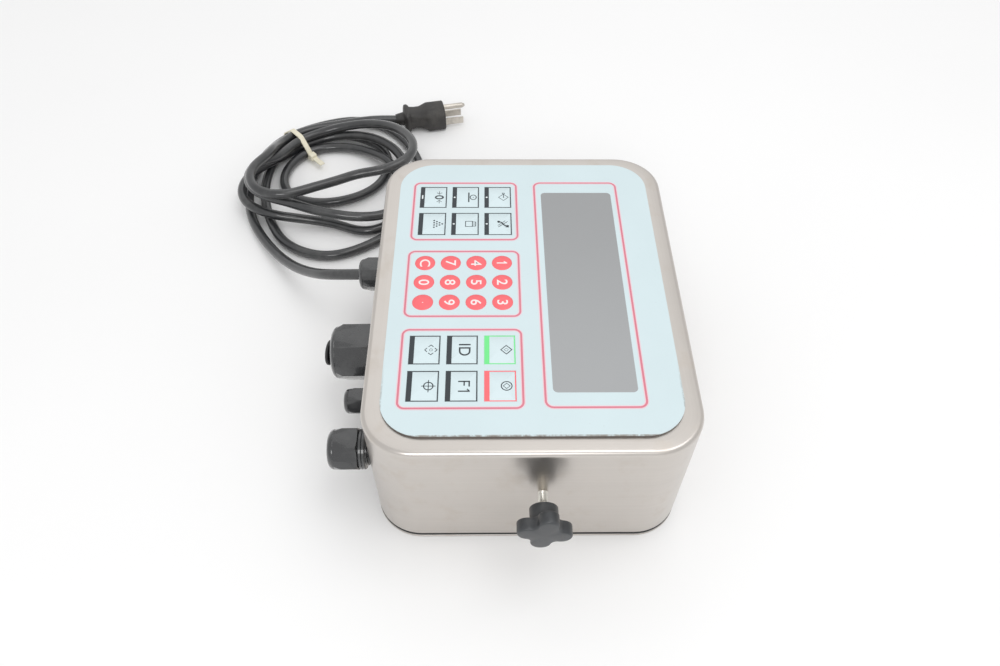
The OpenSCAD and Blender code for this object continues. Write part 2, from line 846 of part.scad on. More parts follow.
module gland_cap(i) {
    corner = gland_corner_r(i);
    face_r = gland_mouth_r[i] + (corner - gland_mouth_r[i]) * 0.3;
    shoulder = gland_shoulder_z(i);
    start = gland_cap_z(i);
    dome = [for (k = [0 : arc_steps])
                let (t = 90 * k / arc_steps)
                [face_r + (corner - face_r) * cos(t), shoulder + gland_dome[i] * sin(t)]];
    color([0.11, 0.11, 0.12])
        on_lower_wall(gland_places[i])
            difference() {
                intersection() {
                    translate([0, 0, start])
                        cylinder(r = corner, h = gland_reach[i], $fn = 6);
                    rotate_extrude($fn = round_fn)
                        polygon(concat([[0, start], [corner, start]], dome, [[0, gland_reach[i]]]));
                }
                translate([0, 0, start - over])
                    cylinder(r = gland_neck_r(i) + fit_gap, h = shoulder - start + over, $fn = round_fn);
                translate([0, 0, start])
                    cylinder(r = gland_mouth_r[i], h = gland_reach[i], $fn = small_fn);
            }
}

module gland_seals() {
    stem_r = seal_bore_r[1];
    head_z = gland_reach[1] + plug_head_t / 2 + plug_head_r * sin(plug_head_tilt) + over / 4;
    color([0.07, 0.07, 0.07]) {
        for (i = [0, 2, 3])
            on_lower_wall(gland_places[i])
                translate([0, 0, gland_cap_z(i) + fit_gap])
                    tube(gland_seal_r(i), seal_bore_r[i],
                         gland_shoulder_z(i) - gland_cap_z(i) - 2 * fit_gap, $fn = round_fn);
        on_lower_wall(gland_places[1]) {
            translate([0, 0, gland_cap_z(1) + fit_gap])
                cylinder(r = gland_seal_r(1), h = gland_shoulder_z(1) - gland_cap_z(1) - 2 * fit_gap,
                         $fn = round_fn);
            translate([0, 0, gland_cap_z(1) + over])
                cylinder(r = stem_r, h = head_z - gland_cap_z(1) - over, $fn = small_fn);
            translate([0, 0, head_z])
                rotate([0, -plug_head_tilt, 0])
                    translate([0, 0, -plug_head_t / 2])
                        cylinder(r = plug_head_r, h = plug_head_t, $fn = round_fn);
        }
    }
}

module gland_locknuts() {
    color([0.13, 0.13, 0.14])
        for (i = [0 : 3])
            on_lower_wall(gland_places[i])
                translate([0, 0, -wall - locknut_seat[i] - locknut_t])
                    difference() {
                        cylinder(r = gland_thread_r[i] * 1.3, h = locknut_t, $fn = 6);
                        translate([0, 0, -over])
                            cylinder(r = gland_thread_r[i] + fit_gap, h = locknut_t + 2 * over,
                                     $fn = round_fn);
                    }
}

// Mains lead

function unit(v) = v / norm(v);

// Point of a smooth curve between b and c
function span_point(a, b, c, d, t) =
    (2 * b + (c - a) * t + (2 * a - 5 * b + 4 * c - d) * t * t
     + (3 * b - a - 3 * c + d) * t * t * t) / 2;

function smooth_route(points) =
    let (last = len(points) - 1)
    concat([for (i = [0 : last - 1], k = [0 : route_steps - 1])
                on_floor(span_point(i == 0 ? 2 * points[0] - points[1] : points[i - 1],
                                    points[i], points[i + 1],
                                    i == last - 1 ? 2 * points[last] - points[last - 1]
                                                  : points[i + 2],
                                    k / route_steps))],
           [points[last]]);

// Place raised, where needed, so that the lead rests on the floor
function on_floor(p) = [p.x, p.y, max(p.z, cord_r)];

function heading(path, i) =
    unit(path[min(i + 1, len(path) - 1)] - path[max(i - 1, 0)]);

// Ring of points round a place on a path, square to its heading
function ring(at, along, r, sides) =
    let (side = unit(cross(along, [0, 0, 1])),
         up = cross(side, along))
    [for (k = [0 : sides - 1])
         let (a = 360 * (k + 0.5) / sides)
         at + r * (cos(a) * side + sin(a) * up)];

// Closed tube along a path, with its two end faces square to the given headings
module sweep(path, r, sides, first, final) {
    last = len(path) - 1;
    points = [for (i = [0 : last])
                  each ring(path[i], i == 0 ? first : i == last ? final : heading(path, i),
                            r, sides)];
    walls = [for (i = [0 : last - 1], k = [0 : sides - 1])
                 let (a = i * sides + k,
                      b = i * sides + (k + 1) % sides)
                 each [[a, b, a + sides], [b, b + sides, a + sides]]];
    ends = [for (k = [1 : sides - 2])
                each [[0, k + 1, k],
                      [last * sides, last * sides + k, last * sides + k + 1]]];
    polyhedron(points, concat(walls, ends));
}

// How strongly the tie acts at an angle, from 0 opposite to 1 at the tie
function tie_nearness(angle) =
    let (away = abs((angle - tie_angle + 540) % 360 - 180))
    away < 90 ? pow(cos(away), 2) : 0;

// Bundled lead: turns spiral in on the first layer, climb, and spiral out on the second
function coil_point(turn) =
    let (angle = coil_start - 360 * turn,
         in = coil_pitch * min(turn, 2 * climb_from + 0.5 - turn),
         near = tie_nearness(angle + 360 * ceil(coil_turns + 1)),
         climb = min(max((turn - climb_from) * 2, 0), 1),
         pull = 1 - tie_pull * near)
    [coil_centre.x + (coil_reach.x - in) * cos(angle) * pull,
     coil_centre.y + (coil_reach.y - in) * sin(angle) * pull,
     cord_r + coil_layer * climb * climb * (3 - 2 * climb) + (tie_t + over / 4) * near * near];

coil_last = round(coil_turns * coil_rings);
coil_path = [for (i = [0 : coil_last]) coil_point(coil_turns * i / coil_last)];
coil_first_heading = unit(coil_path[1] - coil_path[0]);
coil_final_heading = unit(coil_path[coil_last] - coil_path[coil_last - 1]);
coil_gap = min([for (i = [0 : coil_last - coil_rings / 2])
                    for (j = [i + coil_rings / 2 : coil_last])
                        norm(coil_path[i] - coil_path[j])]) - 2 * cord_r;
echo(coil_least_gap = coil_gap);

module cord_coil() {
    color([0.09, 0.09, 0.1])
        sweep(coil_path, cord_r, coil_sides, coil_first_heading, coil_final_heading);
}

function gland_axis_point(reach) =
    [gland_places[0],
     -(case_height / 2 - lean_in(gland_z)) - reach * cos(lean_angle),
     gland_z - reach * sin(lean_angle)];

module power_cord() {
    out = gland_axis_point(1) - gland_axis_point(0);
    into_plug = [-sin(plug_turn), cos(plug_turn), 0];
    color([0.09, 0.09, 0.1]) {
        sweep(smooth_route(concat([for (reach = gland_run) gland_axis_point(reach)],
                                  loop_route, [coil_path[0]])),
              cord_r, cord_sides, out, coil_first_heading);
        sweep(smooth_route(concat([coil_path[coil_last]], plug_route, [plug_at])),
              cord_r, cord_sides, coil_final_heading, into_plug);
    }
}

// Tie round the bundle and the free loop beside it

// Places of the strands in the tie's own plane: distance from the centre, and height
function strand_at_tie(turn) =
    let (p = coil_point(turn))
    [norm([p.x, p.y] - coil_centre), p.z];

module strand_round(r) {
    first = (coil_start - tie_angle + 720) % 360 / 360;
    hull() {
        for (k = [0 : floor(coil_turns - first)])
            translate(strand_at_tie(first + k))
                circle(r, $fn = small_fn);
        translate([loop_at_tie, cord_r + tie_t + over / 4])
            circle(r, $fn = small_fn);
    }
}

module cable_tie() {
    inner = cord_r + fit_gap;
    head = tie_width * 1.3;
    first = (coil_start - tie_angle + 720) % 360 / 360;
    inside = strand_at_tie(first + 2);
    color([0.86, 0.83, 0.72])
        translate([coil_centre.x, coil_centre.y, 0])
            rotate([90, 0, tie_angle]) {
                linear_extrude(height = tie_width, center = true)
                    difference() {
                        strand_round(inner + tie_t);
                        strand_round(inner);
                    }
                translate([inside.x - inner - tie_t - head / 2, inside.y, 0])
                    cube([head, head, head], center = true);
                translate([inside.x - inner - tie_t - 3 * head, inside.y - tie_t / 2, -tie_width / 2])
                    cube([3 * head, tie_t, tie_width]);
            }
}

// Plug, lying on its side with the ground pin up

module at_plug() {
    translate(plug_at)
        rotate([0, 0, plug_turn])
            children();
}

module plug_body() {
    grip = plug_length / 6;
    half = plug_thickness / 2;
    color([0.12, 0.12, 0.12])
        at_plug() {
            rotate([-90, 0, 0])
                cylinder(r1 = cord_r * 1.2, r2 = relief_r, h = relief_length, $fn = round_fn);
            hull() {
                translate([-plug_width * 0.36, relief_length, -half * 0.8])
                    cube([plug_width * 0.72, grip, half * 1.6]);
                translate([-plug_width / 2, relief_length + plug_length * 0.55, -half])
                    cube([plug_width, plug_length * 0.45, plug_thickness * 0.62]);
                translate([-plug_width * 0.3, relief_length + plug_length * 0.55, -half])
                    cube([plug_width * 0.6, plug_length * 0.45, plug_thickness]);
            }
            translate([-plug_width * 0.45, relief_length, -half])
                cube([plug_width * 0.9, grip * 0.7, plug_thickness * 0.95]);
        }
}

module plug_blades() {
    face = relief_length + plug_length;
    drop = pin_offset * 0.38;
    color([0.8, 0.72, 0.55])
        at_plug() {
            for (side = [-1, 1])
                translate([side * blade_pitch / 2 - blade_t / 2, face, -drop - blade_width / 2])
                    cube([blade_t, blade_length, blade_width]);
            translate([0, face, pin_offset - drop])
                rotate([-90, 0, 0])
                    union() {
                        cylinder(r = pin_r, h = pin_length - pin_r, $fn = small_fn);
                        translate([0, 0, pin_length - pin_r])
                            cylinder(r1 = pin_r, r2 = pin_r / 2, h = pin_r, $fn = small_fn);
                    }
        }
}

// Drawing

housing();
overlay();
membrane_base();
key_domes();
display_window();
display_glass();
display_board();
main_board();
terminal_blocks();
board_standoffs();
board_screws();
transformer();
keypad_ribbon();
rear_gasket();
rear_cover();
rear_cover_screws();
side_inserts();
knob_stud_left();
knob_stud_right();
knob_left();
knob_right();
gland_body(0);  // gland_body_power
gland_cap(0);  // gland_cap_power
gland_body(1);  // gland_body_large
gland_cap(1);  // gland_cap_large
gland_body(2);  // gland_body_small
gland_cap(2);  // gland_cap_small
gland_body(3);  // gland_body_medium
gland_cap(3);  // gland_cap_medium
gland_seals();
gland_locknuts();
power_cord();
cord_coil();
cable_tie();
plug_body();
plug_blades();
for (i = [0 : 11]) {
    round_key(i);
    function_key(i);
}
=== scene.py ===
"""Weighing indicator in a drawn steel case, lying on its back, with its mains lead in a tied bundle."""
import math

import bmesh
import bpy
import numpy as np
from mathutils import Matrix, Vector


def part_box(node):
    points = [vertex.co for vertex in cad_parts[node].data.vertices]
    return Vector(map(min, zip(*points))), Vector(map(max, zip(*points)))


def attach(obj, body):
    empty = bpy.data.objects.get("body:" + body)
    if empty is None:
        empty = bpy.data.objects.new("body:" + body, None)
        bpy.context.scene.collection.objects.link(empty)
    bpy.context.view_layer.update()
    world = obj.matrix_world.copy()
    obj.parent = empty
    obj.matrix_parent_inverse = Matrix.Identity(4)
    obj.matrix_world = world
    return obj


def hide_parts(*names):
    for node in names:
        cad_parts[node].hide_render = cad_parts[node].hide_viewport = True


bl_info = {
    "name": "Weighing Indicator",
    "version": (1, 0, 0),
    "blender": (4, 5, 0),
    "location": "View3D > Sidebar > Indicator",
    "description": "Weighing indicator with keypad, clamping knobs, cable glands and a bundled mains lead",
    "category": "Object",
}

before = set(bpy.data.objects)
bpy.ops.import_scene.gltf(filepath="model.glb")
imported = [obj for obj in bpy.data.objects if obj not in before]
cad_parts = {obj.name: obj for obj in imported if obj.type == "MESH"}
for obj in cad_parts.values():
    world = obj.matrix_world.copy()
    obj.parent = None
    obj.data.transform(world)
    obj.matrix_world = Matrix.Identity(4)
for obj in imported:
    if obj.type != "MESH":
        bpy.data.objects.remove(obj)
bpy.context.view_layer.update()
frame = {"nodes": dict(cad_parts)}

MM = 0.001
LEAN = math.atan(1.77 / 96)
PANEL_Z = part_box("overlay")[0].z - 1.3 * MM
SHELL_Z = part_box("rear_gasket")[1].z
FILM_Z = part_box("overlay")[1].z
GLAND_Z = 49 * MM
KNOB_PLACE = (6.5 * MM, 58 * MM)

NUMBER_KEYS = {"key_1": "1", "key_2": "2", "key_3": "3", "key_4": "4", "key_5": "5", "key_6": "6",
               "key_7": "7", "key_8": "8", "key_9": "9", "key_clear": "C", "key_0": "0", "key_point": "."}
FUNCTION_KEYS = ("key_tare", "key_print", "key_zero", "key_select", "key_units", "key_sample",
                 "key_start", "key_identity", "key_setup", "key_stop", "key_function", "key_target")


def centre(node):
    """Middle of a node's box."""
    low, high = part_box(node)
    return (low + high) / 2


def size(node):
    """Extent of a node's box."""
    low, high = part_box(node)
    return high - low


# Settings

def length(name, description, millimetres):
    """A setting that holds a length."""
    return bpy.props.FloatProperty(name=name, description=description, default=millimetres * MM,
                                   unit="LENGTH")


def tint(name, description, shade):
    """A setting that holds a colour."""
    return bpy.props.FloatVectorProperty(name=name, description=description, subtype="COLOR",
                                         default=shade, min=0, max=1)


class CaseSettings(bpy.types.PropertyGroup):
    """Sizes of the drawn case."""
    width: length("Width", "Width of the case at its front edge", 256)
    height: length("Height", "Height of the case at its front edge", 196)
    corner: length("Corner", "Radius of the case's corners", 31)
    rim: length("Rim", "Rounding between the front and the walls", 3)
    bend: length("Bend", "Rounding between the walls and the rear flange", 1.1)
    flange: length("Flange", "Width of the rear flange", 15)
    sheet: length("Sheet", "Thickness of the case's sheet steel", 1.5)
    steel: tint("Steel", "Colour of the brushed steel", (0.60, 0.565, 0.53))


class PanelSettings(bpy.types.PropertyGroup):
    """Sizes and colours of the printed front film."""
    line: length("Frame line", "Width of the printed frame lines", 1.25)
    round_key: length("Round key", "Radius of a round key's print", 6.54)
    digit: length("Digit", "Height of the digits", 6.8)
    film: tint("Film", "Colour of the front film", (0.62, 0.735, 0.765))
    frame: tint("Frame", "Colour of the printed frames", (0.68, 0.20, 0.265))
    halo: tint("Halo", "Colour of the tint along the printed frames", (0.78, 0.60, 0.645))
    coral: tint("Round key colour", "Colour of the round keys", (0.93, 0.155, 0.175))
    green: tint("Start key colour", "Colour of the start key's print", (0.17, 0.78, 0.26))
    slate: tint("Slate", "Colour of the function keys' print", (0.030, 0.038, 0.045))
    window: tint("Window", "Colour of the display window", (0.31, 0.318, 0.325))


class KnobSettings(bpy.types.PropertyGroup):
    """Sizes of the clamping knobs."""
    reach: length("Reach", "Outer radius of the lobes", 16.2)
    lobe: length("Lobe", "Radius of one lobe", 6)
    valley: length("Valley", "Radius between the lobes", 10.5)
    head: length("Head", "Thickness of the lobed head", 8.2)
    hub: length("Hub", "Radius of the hub", 8.4)
    hub_length: length("Hub length", "Length of the hub", 9.5)
    gap: length("Gap", "Bare stud between wall and hub", 10.3)
    stud: length("Stud", "Radius of the stud", 3)
    turn: bpy.props.FloatProperty(
        name="Turn", description="Turn of the lobes about the axis",
        default=math.radians(79), subtype="ANGLE")
    plastic: tint("Plastic", "Colour of the knob", (0.028, 0.031, 0.035))


class GlandSettings(bpy.types.PropertyGroup):
    """Sizes and colour of the cable glands' finish."""
    edge: length("Edge", "Rounding of the nuts' edges", 0.35)
    thread_pitch: length("Thread pitch", "Pitch of the glands' threads", 1.5)
    nylon: tint("Nylon", "Colour of the glands", (0.020, 0.021, 0.023))


class LeadSettings(bpy.types.PropertyGroup):
    """Sizes and colours of the mains lead."""
    diameter: length("Diameter", "Diameter of the lead", 8)
    jacket: tint("Jacket", "Colour of the lead's jacket", (0.020, 0.021, 0.023))
    tie: tint("Tie", "Colour of the cable tie", (0.74, 0.70, 0.56))


# Materials

class Wire:
    """A value on its way between nodes; sums and products of wires add Math nodes."""

    def __init__(self, finish, socket):
        self.finish = finish
        self.socket = socket

    def maths(self, operation, *values):
        return self.finish.node("ShaderNodeMath", {"operation": operation}, dict(enumerate(values)))

    def __add__(self, other):
        return self.maths("ADD", self, other)

    def __sub__(self, other):
        return self.maths("SUBTRACT", self, other)

    def __mul__(self, other):
        return self.maths("MULTIPLY", self, other)

    __radd__ = __add__


class Finish:
    """A material being put together on one glossy shader."""

    def __init__(self, name, **fixed):
        self.material = bpy.data.materials.new(name)
        self.material.use_nodes = True
        self.tree = self.material.node_tree
        self.shader = self.tree.nodes["Principled BSDF"]
        for socket, value in fixed.items():
            self.shader.inputs[socket.replace("_", " ")].default_value = value

    def node(self, kind, settings=None, inputs=None, output=0):
        """A node with its settings made first and then its inputs filled with values or wires."""
        made = self.tree.nodes.new(kind)
        for key, value in (settings or {}).items():
            setattr(made, key, value)
        for key, value in (inputs or {}).items():
            self.feed(made.inputs[key], value)
        return Wire(self, made.outputs[output])

    def feed(self, socket, value):
        if isinstance(value, Wire):
            self.tree.links.new(value.socket, socket)
        else:
            socket.default_value = value

    def set(self, socket, value):
        """Feeds one socket of the shader."""
        self.feed(self.shader.inputs[socket], value)

    def place(self, stretch=(1, 1, 1), at=(0, 0, 0), flat=False):
        """Object coordinates in metres, or the piece's own UV map, moved and stretched."""
        source = self.node("ShaderNodeTexCoord", output="UV" if flat else "Object")
        return self.node("ShaderNodeMapping", {"vector_type": "POINT"},
                         {"Vector": source, "Location": at, "Scale": stretch})

    def noise(self, vector, scale, detail=3.0, rough=0.55):
        """Cloudy noise from 0 to 1; scale is in patches a metre."""
        return self.node("ShaderNodeTexNoise", None,
                         {"Vector": vector, "Scale": scale, "Detail": detail, "Roughness": rough})

    def band(self, value, low, high, to_low=0.0, to_high=1.0):
        """Smooth step of a value between two levels."""
        return self.node("ShaderNodeMapRange", {"interpolation_type": "SMOOTHSTEP"},
                         {"Value": value, "From Min": low, "From Max": high,
                          "To Min": to_low, "To Max": to_high})

    def blend(self, mask, first, second):
        """Mixes two colours by a mask."""
        return self.node("ShaderNodeMix", {"data_type": "RGBA"},
                         {0: mask, 6: colour(first), 7: colour(second)}, output=2)

    def bump(self, height, depth, strength=1.0):
        """Feeds a bump of the given depth in metres."""
        self.set("Normal", self.node("ShaderNodeBump", None,
                                     {"Strength": strength, "Distance": depth, "Height": height}))


def colour(value):
    """A colour with its alpha, or a wire as it is."""
    return value if isinstance(value, Wire) else (*value[:3], 1)


def darker(shade, share):
    """A colour times a share, which may be above one."""
    return tuple(c * share for c in shade[:3])


def brushed_steel(name, shade, grain=(3, 900)):
    """Brushed sheet steel: fine lines along the brushing, cloudy wear and faint smudges."""
    f = Finish(name, Metallic=1.0)
    along, across = grain
    lines = f.noise(f.place((along, across, across), flat=True), 1, 4, 0.6)
    broad = f.noise(f.place((along * 2, across / 9, across / 9), flat=True), 1, 3, 0.5)
    cloud = f.noise(f.place(), 26, 3, 0.6)
    smudge = f.band(f.noise(f.place(at=(3, 1, 2)), 48, 4, 0.65), 0.52, 0.72)
    tone = f.blend(lines * 0.45 + broad * 0.3 + cloud * 0.35, darker(shade, 0.86), darker(shade, 1.12))
    f.set("Base Color", f.blend(smudge * 0.4, tone, (shade[0] * 0.93, shade[1] * 0.89, shade[2] * 0.84)))
    f.set("Roughness", 0.22 + lines * 0.06 + cloud * 0.10 + smudge * 0.07)
    f.bump(lines * 0.7 + broad * 0.3, 0.00002, 0.5)
    return f.material


def machined_metal(name, shade, rough=0.28):
    """Plated or turned metal with a fine grain and slight stains."""
    f = Finish(name, Metallic=1.0)
    grain = f.noise(f.place(), 2400, 3, 0.6)
    stain = f.noise(f.place(), 160, 4, 0.6)
    f.set("Base Color", f.blend(f.band(stain, 0.35, 0.75), shade, darker(shade, 0.72)))
    f.set("Roughness", rough + grain * 0.10 + stain * 0.08)
    f.bump(grain, 0.00001, 0.4)
    return f.material


def moulded_plastic(name, shade, rough=0.36, dust=0.25, texture=1500, coat=0.0):
    """Moulded plastic: fine spark texture, dusty patches and rubbed spots."""
    f = Finish(name, Coat_Weight=coat)
    grain = f.noise(f.place(), texture, 3, 0.6)
    patch = f.band(f.noise(f.place(at=(1, 2, 3)), 90, 4, 0.65), 0.42, 0.75)
    dusty = (shade[0] * 2.2 + 0.02, shade[1] * 2.2 + 0.02, shade[2] * 2.1 + 0.018)
    f.set("Base Color", f.blend(patch * dust + grain * 0.06, shade, dusty))
    f.set("Roughness", rough + patch * 0.16 + grain * 0.08)
    f.bump(grain, 0.00003, 0.35)
    return f.material


def soft_rubber(name, shade, dust=0.5, coat=0.0):
    """Rubber or jacket: dusty along its length, with small scuffs and, where asked, a coat."""
    f = Finish(name, Coat_Weight=coat)
    f.shader.inputs["Specular IOR Level"].default_value = 0.45
    grain = f.noise(f.place(), 900, 3, 0.6)
    patch = f.band(f.noise(f.place(), 38, 5, 0.68), 0.44, 0.70)
    scuff = f.band(f.noise(f.place(at=(5, 1, 0)), 420, 3, 0.5), 0.60, 0.74)
    pale = (shade[0] * 2.1 + 0.018, shade[1] * 2.1 + 0.017, shade[2] * 2.0 + 0.015)
    f.set("Base Color", f.blend(patch * dust + scuff * 0.18, shade, pale))
    f.set("Roughness", 0.33 + patch * 0.20 + grain * 0.06)
    f.bump(grain * 0.5 + scuff * 0.4, 0.00006, 0.4)
    return f.material


def printed_film(name, shade, rough=0.34, mottle=0.05):
    """Film or ink: even colour with a faint mottle, a fine texture and a few rubbed marks."""
    f = Finish(name)
    f.shader.inputs["Specular IOR Level"].default_value = 0.42
    cloud = f.noise(f.place(), 22, 4, 0.6)
    grain = f.noise(f.place(), 2600, 2, 0.5)
    worn = f.band(f.noise(f.place((1.0, 1.6, 1)), 120, 4, 0.7), 0.62, 0.78)
    tone = f.blend(cloud, darker(shade, 1 - mottle), tuple(min(1, c * (1 + mottle)) for c in shade))
    f.set("Base Color", f.blend(worn * 0.10, tone, darker(shade, 0.7)))
    f.set("Roughness", rough + cloud * 0.08 + grain * 0.05)
    f.bump(grain, 0.000015, 0.3)
    return f.material


def front_film(name, shade, edge_shade_colour):
    """The front film: pale print, with painted shade along its right-hand edge and a few specks of dirt."""
    f = Finish(name)
    f.shader.inputs["Specular IOR Level"].default_value = 0.42
    half = size("overlay") / 2
    place = f.place()
    split = f.node("ShaderNodeSeparateXYZ", None, {"Vector": place})
    across = [Wire(f, split.socket.node.outputs[i]) for i in (0, 1)]
    reach = [side.maths("ABSOLUTE", side) for side in across]
    border = reach[0].maths("MAXIMUM", reach[0] - half.x, reach[1] - half.y)
    # Painted shade: a dark brownish band along the right-hand edge stands for the raised film's edge, which
    # lies in shade and shows brown adhesive; the specks are dirt.
    edge_shade_band = f.band(border, -0.0012, -0.0005) * f.band(across[0], 0.060, 0.112, 0.0, 1.0)
    cloud = f.noise(place, 20, 4, 0.6)
    fine = f.noise(f.place(), 260, 4, 0.7)
    speck = f.band(f.noise(f.place(at=(2, 0, 0)), 520, 2, 0.5), 0.70, 0.76)
    edge_shade_and_specks = edge_shade_band * f.band(fine, 0.30, 0.60) * 0.9 + speck * 0.10
    tone = f.blend(cloud, darker(shade, 0.955), darker(shade, 1.035))
    f.set("Base Color", f.blend(edge_shade_and_specks, tone, edge_shade_colour))
    f.set("Roughness", 0.33 + cloud * 0.08 + edge_shade_and_specks * 0.2)
    f.bump(f.noise(f.place(), 2600, 2, 0.5), 0.000015, 0.3)
    return f.material


def window_plastic(name, shade):
    """Smoked window: grey, a little darker towards its left end, with a clear glossy coat."""
    f = Finish(name, Coat_Weight=0.6, Coat_Roughness=0.12)
    low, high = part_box("display_window")
    place = f.place()
    split = f.node("ShaderNodeSeparateXYZ", None, {"Vector": place})
    fade = f.band(split, low.x, high.x)
    cloud = f.noise(place, 30, 3, 0.5)
    f.set("Base Color", f.blend(fade * 0.85 + cloud * 0.15, darker(shade, 0.88), darker(shade, 1.12)))
    f.set("Roughness", 0.32 + cloud * 0.06)
    f.bump(f.noise(place, 1800, 2, 0.5), 0.00001, 0.2)
    return f.material


def board_laminate(name):
    """Circuit board: green lacquer over tracks that show as faint squares."""
    f = Finish(name, Coat_Weight=0.4, Coat_Roughness=0.2)
    tracks = f.node("ShaderNodeTexVoronoi", {"distance": "CHEBYCHEV", "feature": "F1"},
                    {"Vector": f.place(), "Scale": 260, "Randomness": 0.6})
    f.set("Base Color", f.blend(f.band(tracks, 0.3, 0.5), (0.012, 0.11, 0.045), (0.03, 0.20, 0.08)))
    f.set("Roughness", 0.35 + tracks * 0.15)
    f.bump(tracks, 0.00004, 0.4)
    return f.material


# Surfaces

def quads(rows, columns):
    """Corner numbers of the faces of a grid of points."""
    i, j = np.meshgrid(np.arange(rows - 1), np.arange(columns - 1), indexing="ij")
    a = (i * columns + j).ravel()
    return np.stack([a, a + 1, a + columns + 1, a + columns], axis=1)


def patch(points, finish=0, flip=False, sheet=False):
    """A surface from points[row, column]; its UV map is the length along the columns and rows."""
    rows, columns = points.shape[:2]
    step_u = np.linalg.norm(np.diff(points, axis=1), axis=2).mean(axis=0)
    step_v = np.linalg.norm(np.diff(points, axis=0), axis=2).mean(axis=1)
    u, v = np.meshgrid(np.r_[0, np.cumsum(step_u)], np.r_[0, np.cumsum(step_v)])
    faces = quads(rows, columns)
    return {"points": points.reshape(-1, 3), "faces": faces[:, ::-1] if flip else faces,
            "uv": np.stack([u.ravel(), v.ravel()], axis=1), "finish": finish, "sheet": sheet}


def flat_patch(points, faces, z, finish=0):
    """A flat printed shape from points[n, 2] and its faces, facing up."""
    points = np.asarray(points, float)
    return {"points": np.c_[points, np.full(len(points), z)], "faces": faces,
            "uv": points.copy(), "finish": finish, "sheet": True}


def moved(part, matrix):
    """The same patch after a matrix."""
    m = np.array(matrix)
    return {**part, "points": part["points"] @ m[:3, :3].T + m[:3, 3]}


def build(name, parts, finishes, body="case", replaces=(), sharp=35):
    """One object from patches: doubles merged in a fixed order, closed patches facing out, sharp
    edges by angle."""
    mesh = bpy.data.meshes.new(name)
    points, faces, uvs, numbers, sheets = [], [], [], [], []
    start = 0
    for part in parts:
        points.append(part["points"])
        uvs.append(part["uv"])
        faces += [tuple(int(k) + start for k in face) for face in part["faces"]]
        numbers += [part["finish"]] * len(part["faces"])
        sheets += [part["sheet"]] * len(part["faces"])
        start += len(part["points"])
    mesh.from_pydata(np.concatenate(points).tolist(), [], faces)
    loops = np.empty(len(mesh.loops), np.int32)
    mesh.loops.foreach_get("vertex_index", loops)
    layer = mesh.uv_layers.new(name="UVMap")
    layer.data.foreach_set("uv", np.concatenate(uvs)[loops].astype(np.float32).ravel())
    mesh.polygons.foreach_set("material_index", np.array(numbers, np.int32))
    skin = bmesh.new()
    skin.from_mesh(mesh)
    closed = [face for face, sheet in zip(skin.faces, sheets) if not sheet]
    corners = sorted({corner for face in closed for corner in face.verts},
                     key=lambda corner: corner.index)
    bmesh.ops.remove_doubles(skin, verts=corners, dist=2e-6)
    closed = [face for face in closed if face.is_valid]
    bmesh.ops.recalc_face_normals(skin, faces=closed)
    skin.to_mesh(mesh)
    skin.free()
    mesh.polygons.foreach_set("use_smooth", np.ones(len(mesh.polygons), bool))
    mesh.set_sharp_from_angle(angle=math.radians(sharp))
    for finish in finishes:
        mesh.materials.append(finish)
    made = bpy.data.objects.new(name, mesh)
    bpy.context.scene.collection.objects.link(made)
    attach(made, body)
    if replaces:
        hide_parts(*replaces)
    return made


def rounded_outline(width, height, radius, inset, bow_steps=14, run=10):
    """Rounded rectangle pushed in by inset, as [point, 2]: straight runs and quarter arcs whose
    radius shrinks with the inset, with the same number of points whatever the inset."""
    half = np.array([width / 2 - radius, height / 2 - radius])
    corners = half * np.array([[1, -1], [1, 1], [-1, 1], [-1, -1]])
    radius = max(radius - inset, 1e-5)
    points = []
    for k, corner in enumerate(corners):
        angle = np.radians(np.linspace(90 * k - 90, 90 * k, bow_steps + 1))
        bow = corner + radius * np.stack([np.cos(angle), np.sin(angle)], axis=1)
        following = corners[(k + 1) % 4] + radius * np.array(
            [math.cos(math.radians(90 * k)), math.sin(math.radians(90 * k))])
        share = np.linspace(0, 1, run + 1)[1:-1, None]
        points += [bow, bow[-1] + (following - bow[-1]) * share]
    outline = np.concatenate(points)
    return np.concatenate([outline, outline[:1]])


def slab(width, height, radius, profile, at=(0, 0)):
    """A plate or shell: the rounded outline carried through (inset, z) pairs of a profile."""
    rows = []
    for inset, z in profile:
        ring = rounded_outline(width, height, radius, inset) + np.array(at)
        rows.append(np.c_[ring, np.full(len(ring), z)])
    return patch(np.array(rows))


def closed_slab(width, height, radius, profile, at=(0, 0)):
    """The same with its first and last ring closed towards a middle line."""
    part = slab(width, height, radius, profile, at)
    rows = part["points"].reshape(len(profile), -1, 3)
    lids = []
    for ring in (rows[0], rows[-1]):
        middle = np.array([at[0], at[1], ring[0, 2]])
        lids.append(patch(np.array([ring, np.repeat(middle[None], len(ring), axis=0)])))
    return [part, *lids]


def turned(profile, sides=64, flats=0.0):
    """A turned surface from (radius, z) rows: x = r cos, y = r sin; where flats is given, the
    radius is cut down to a hexagon of that width: min(r, flats / 2 / cos(angle in its face))."""
    sides = 6 * max(1, round(sides / 6))
    angle = np.linspace(0, 2 * math.pi, sides + 1)
    radius = np.repeat(np.array([r for r, _ in profile])[:, None], sides + 1, axis=1)
    if flats:
        in_face = (angle % (math.pi / 3)) - math.pi / 6
        radius = np.minimum(radius, flats / 2 / np.cos(in_face)[None, :])
    z = np.repeat(np.array([z for _, z in profile])[:, None], sides + 1, axis=1)
    return patch(np.stack([radius * np.cos(angle), radius * np.sin(angle), z], axis=2))


def arc(centre_r, centre_z, radius, start, end, steps=6):
    """Profile points on a quarter arc or less, angles in degrees from +r towards +z."""
    t = np.radians(np.linspace(start, end, steps + 1))
    return [(centre_r + radius * math.cos(a), centre_z + radius * math.sin(a)) for a in t]


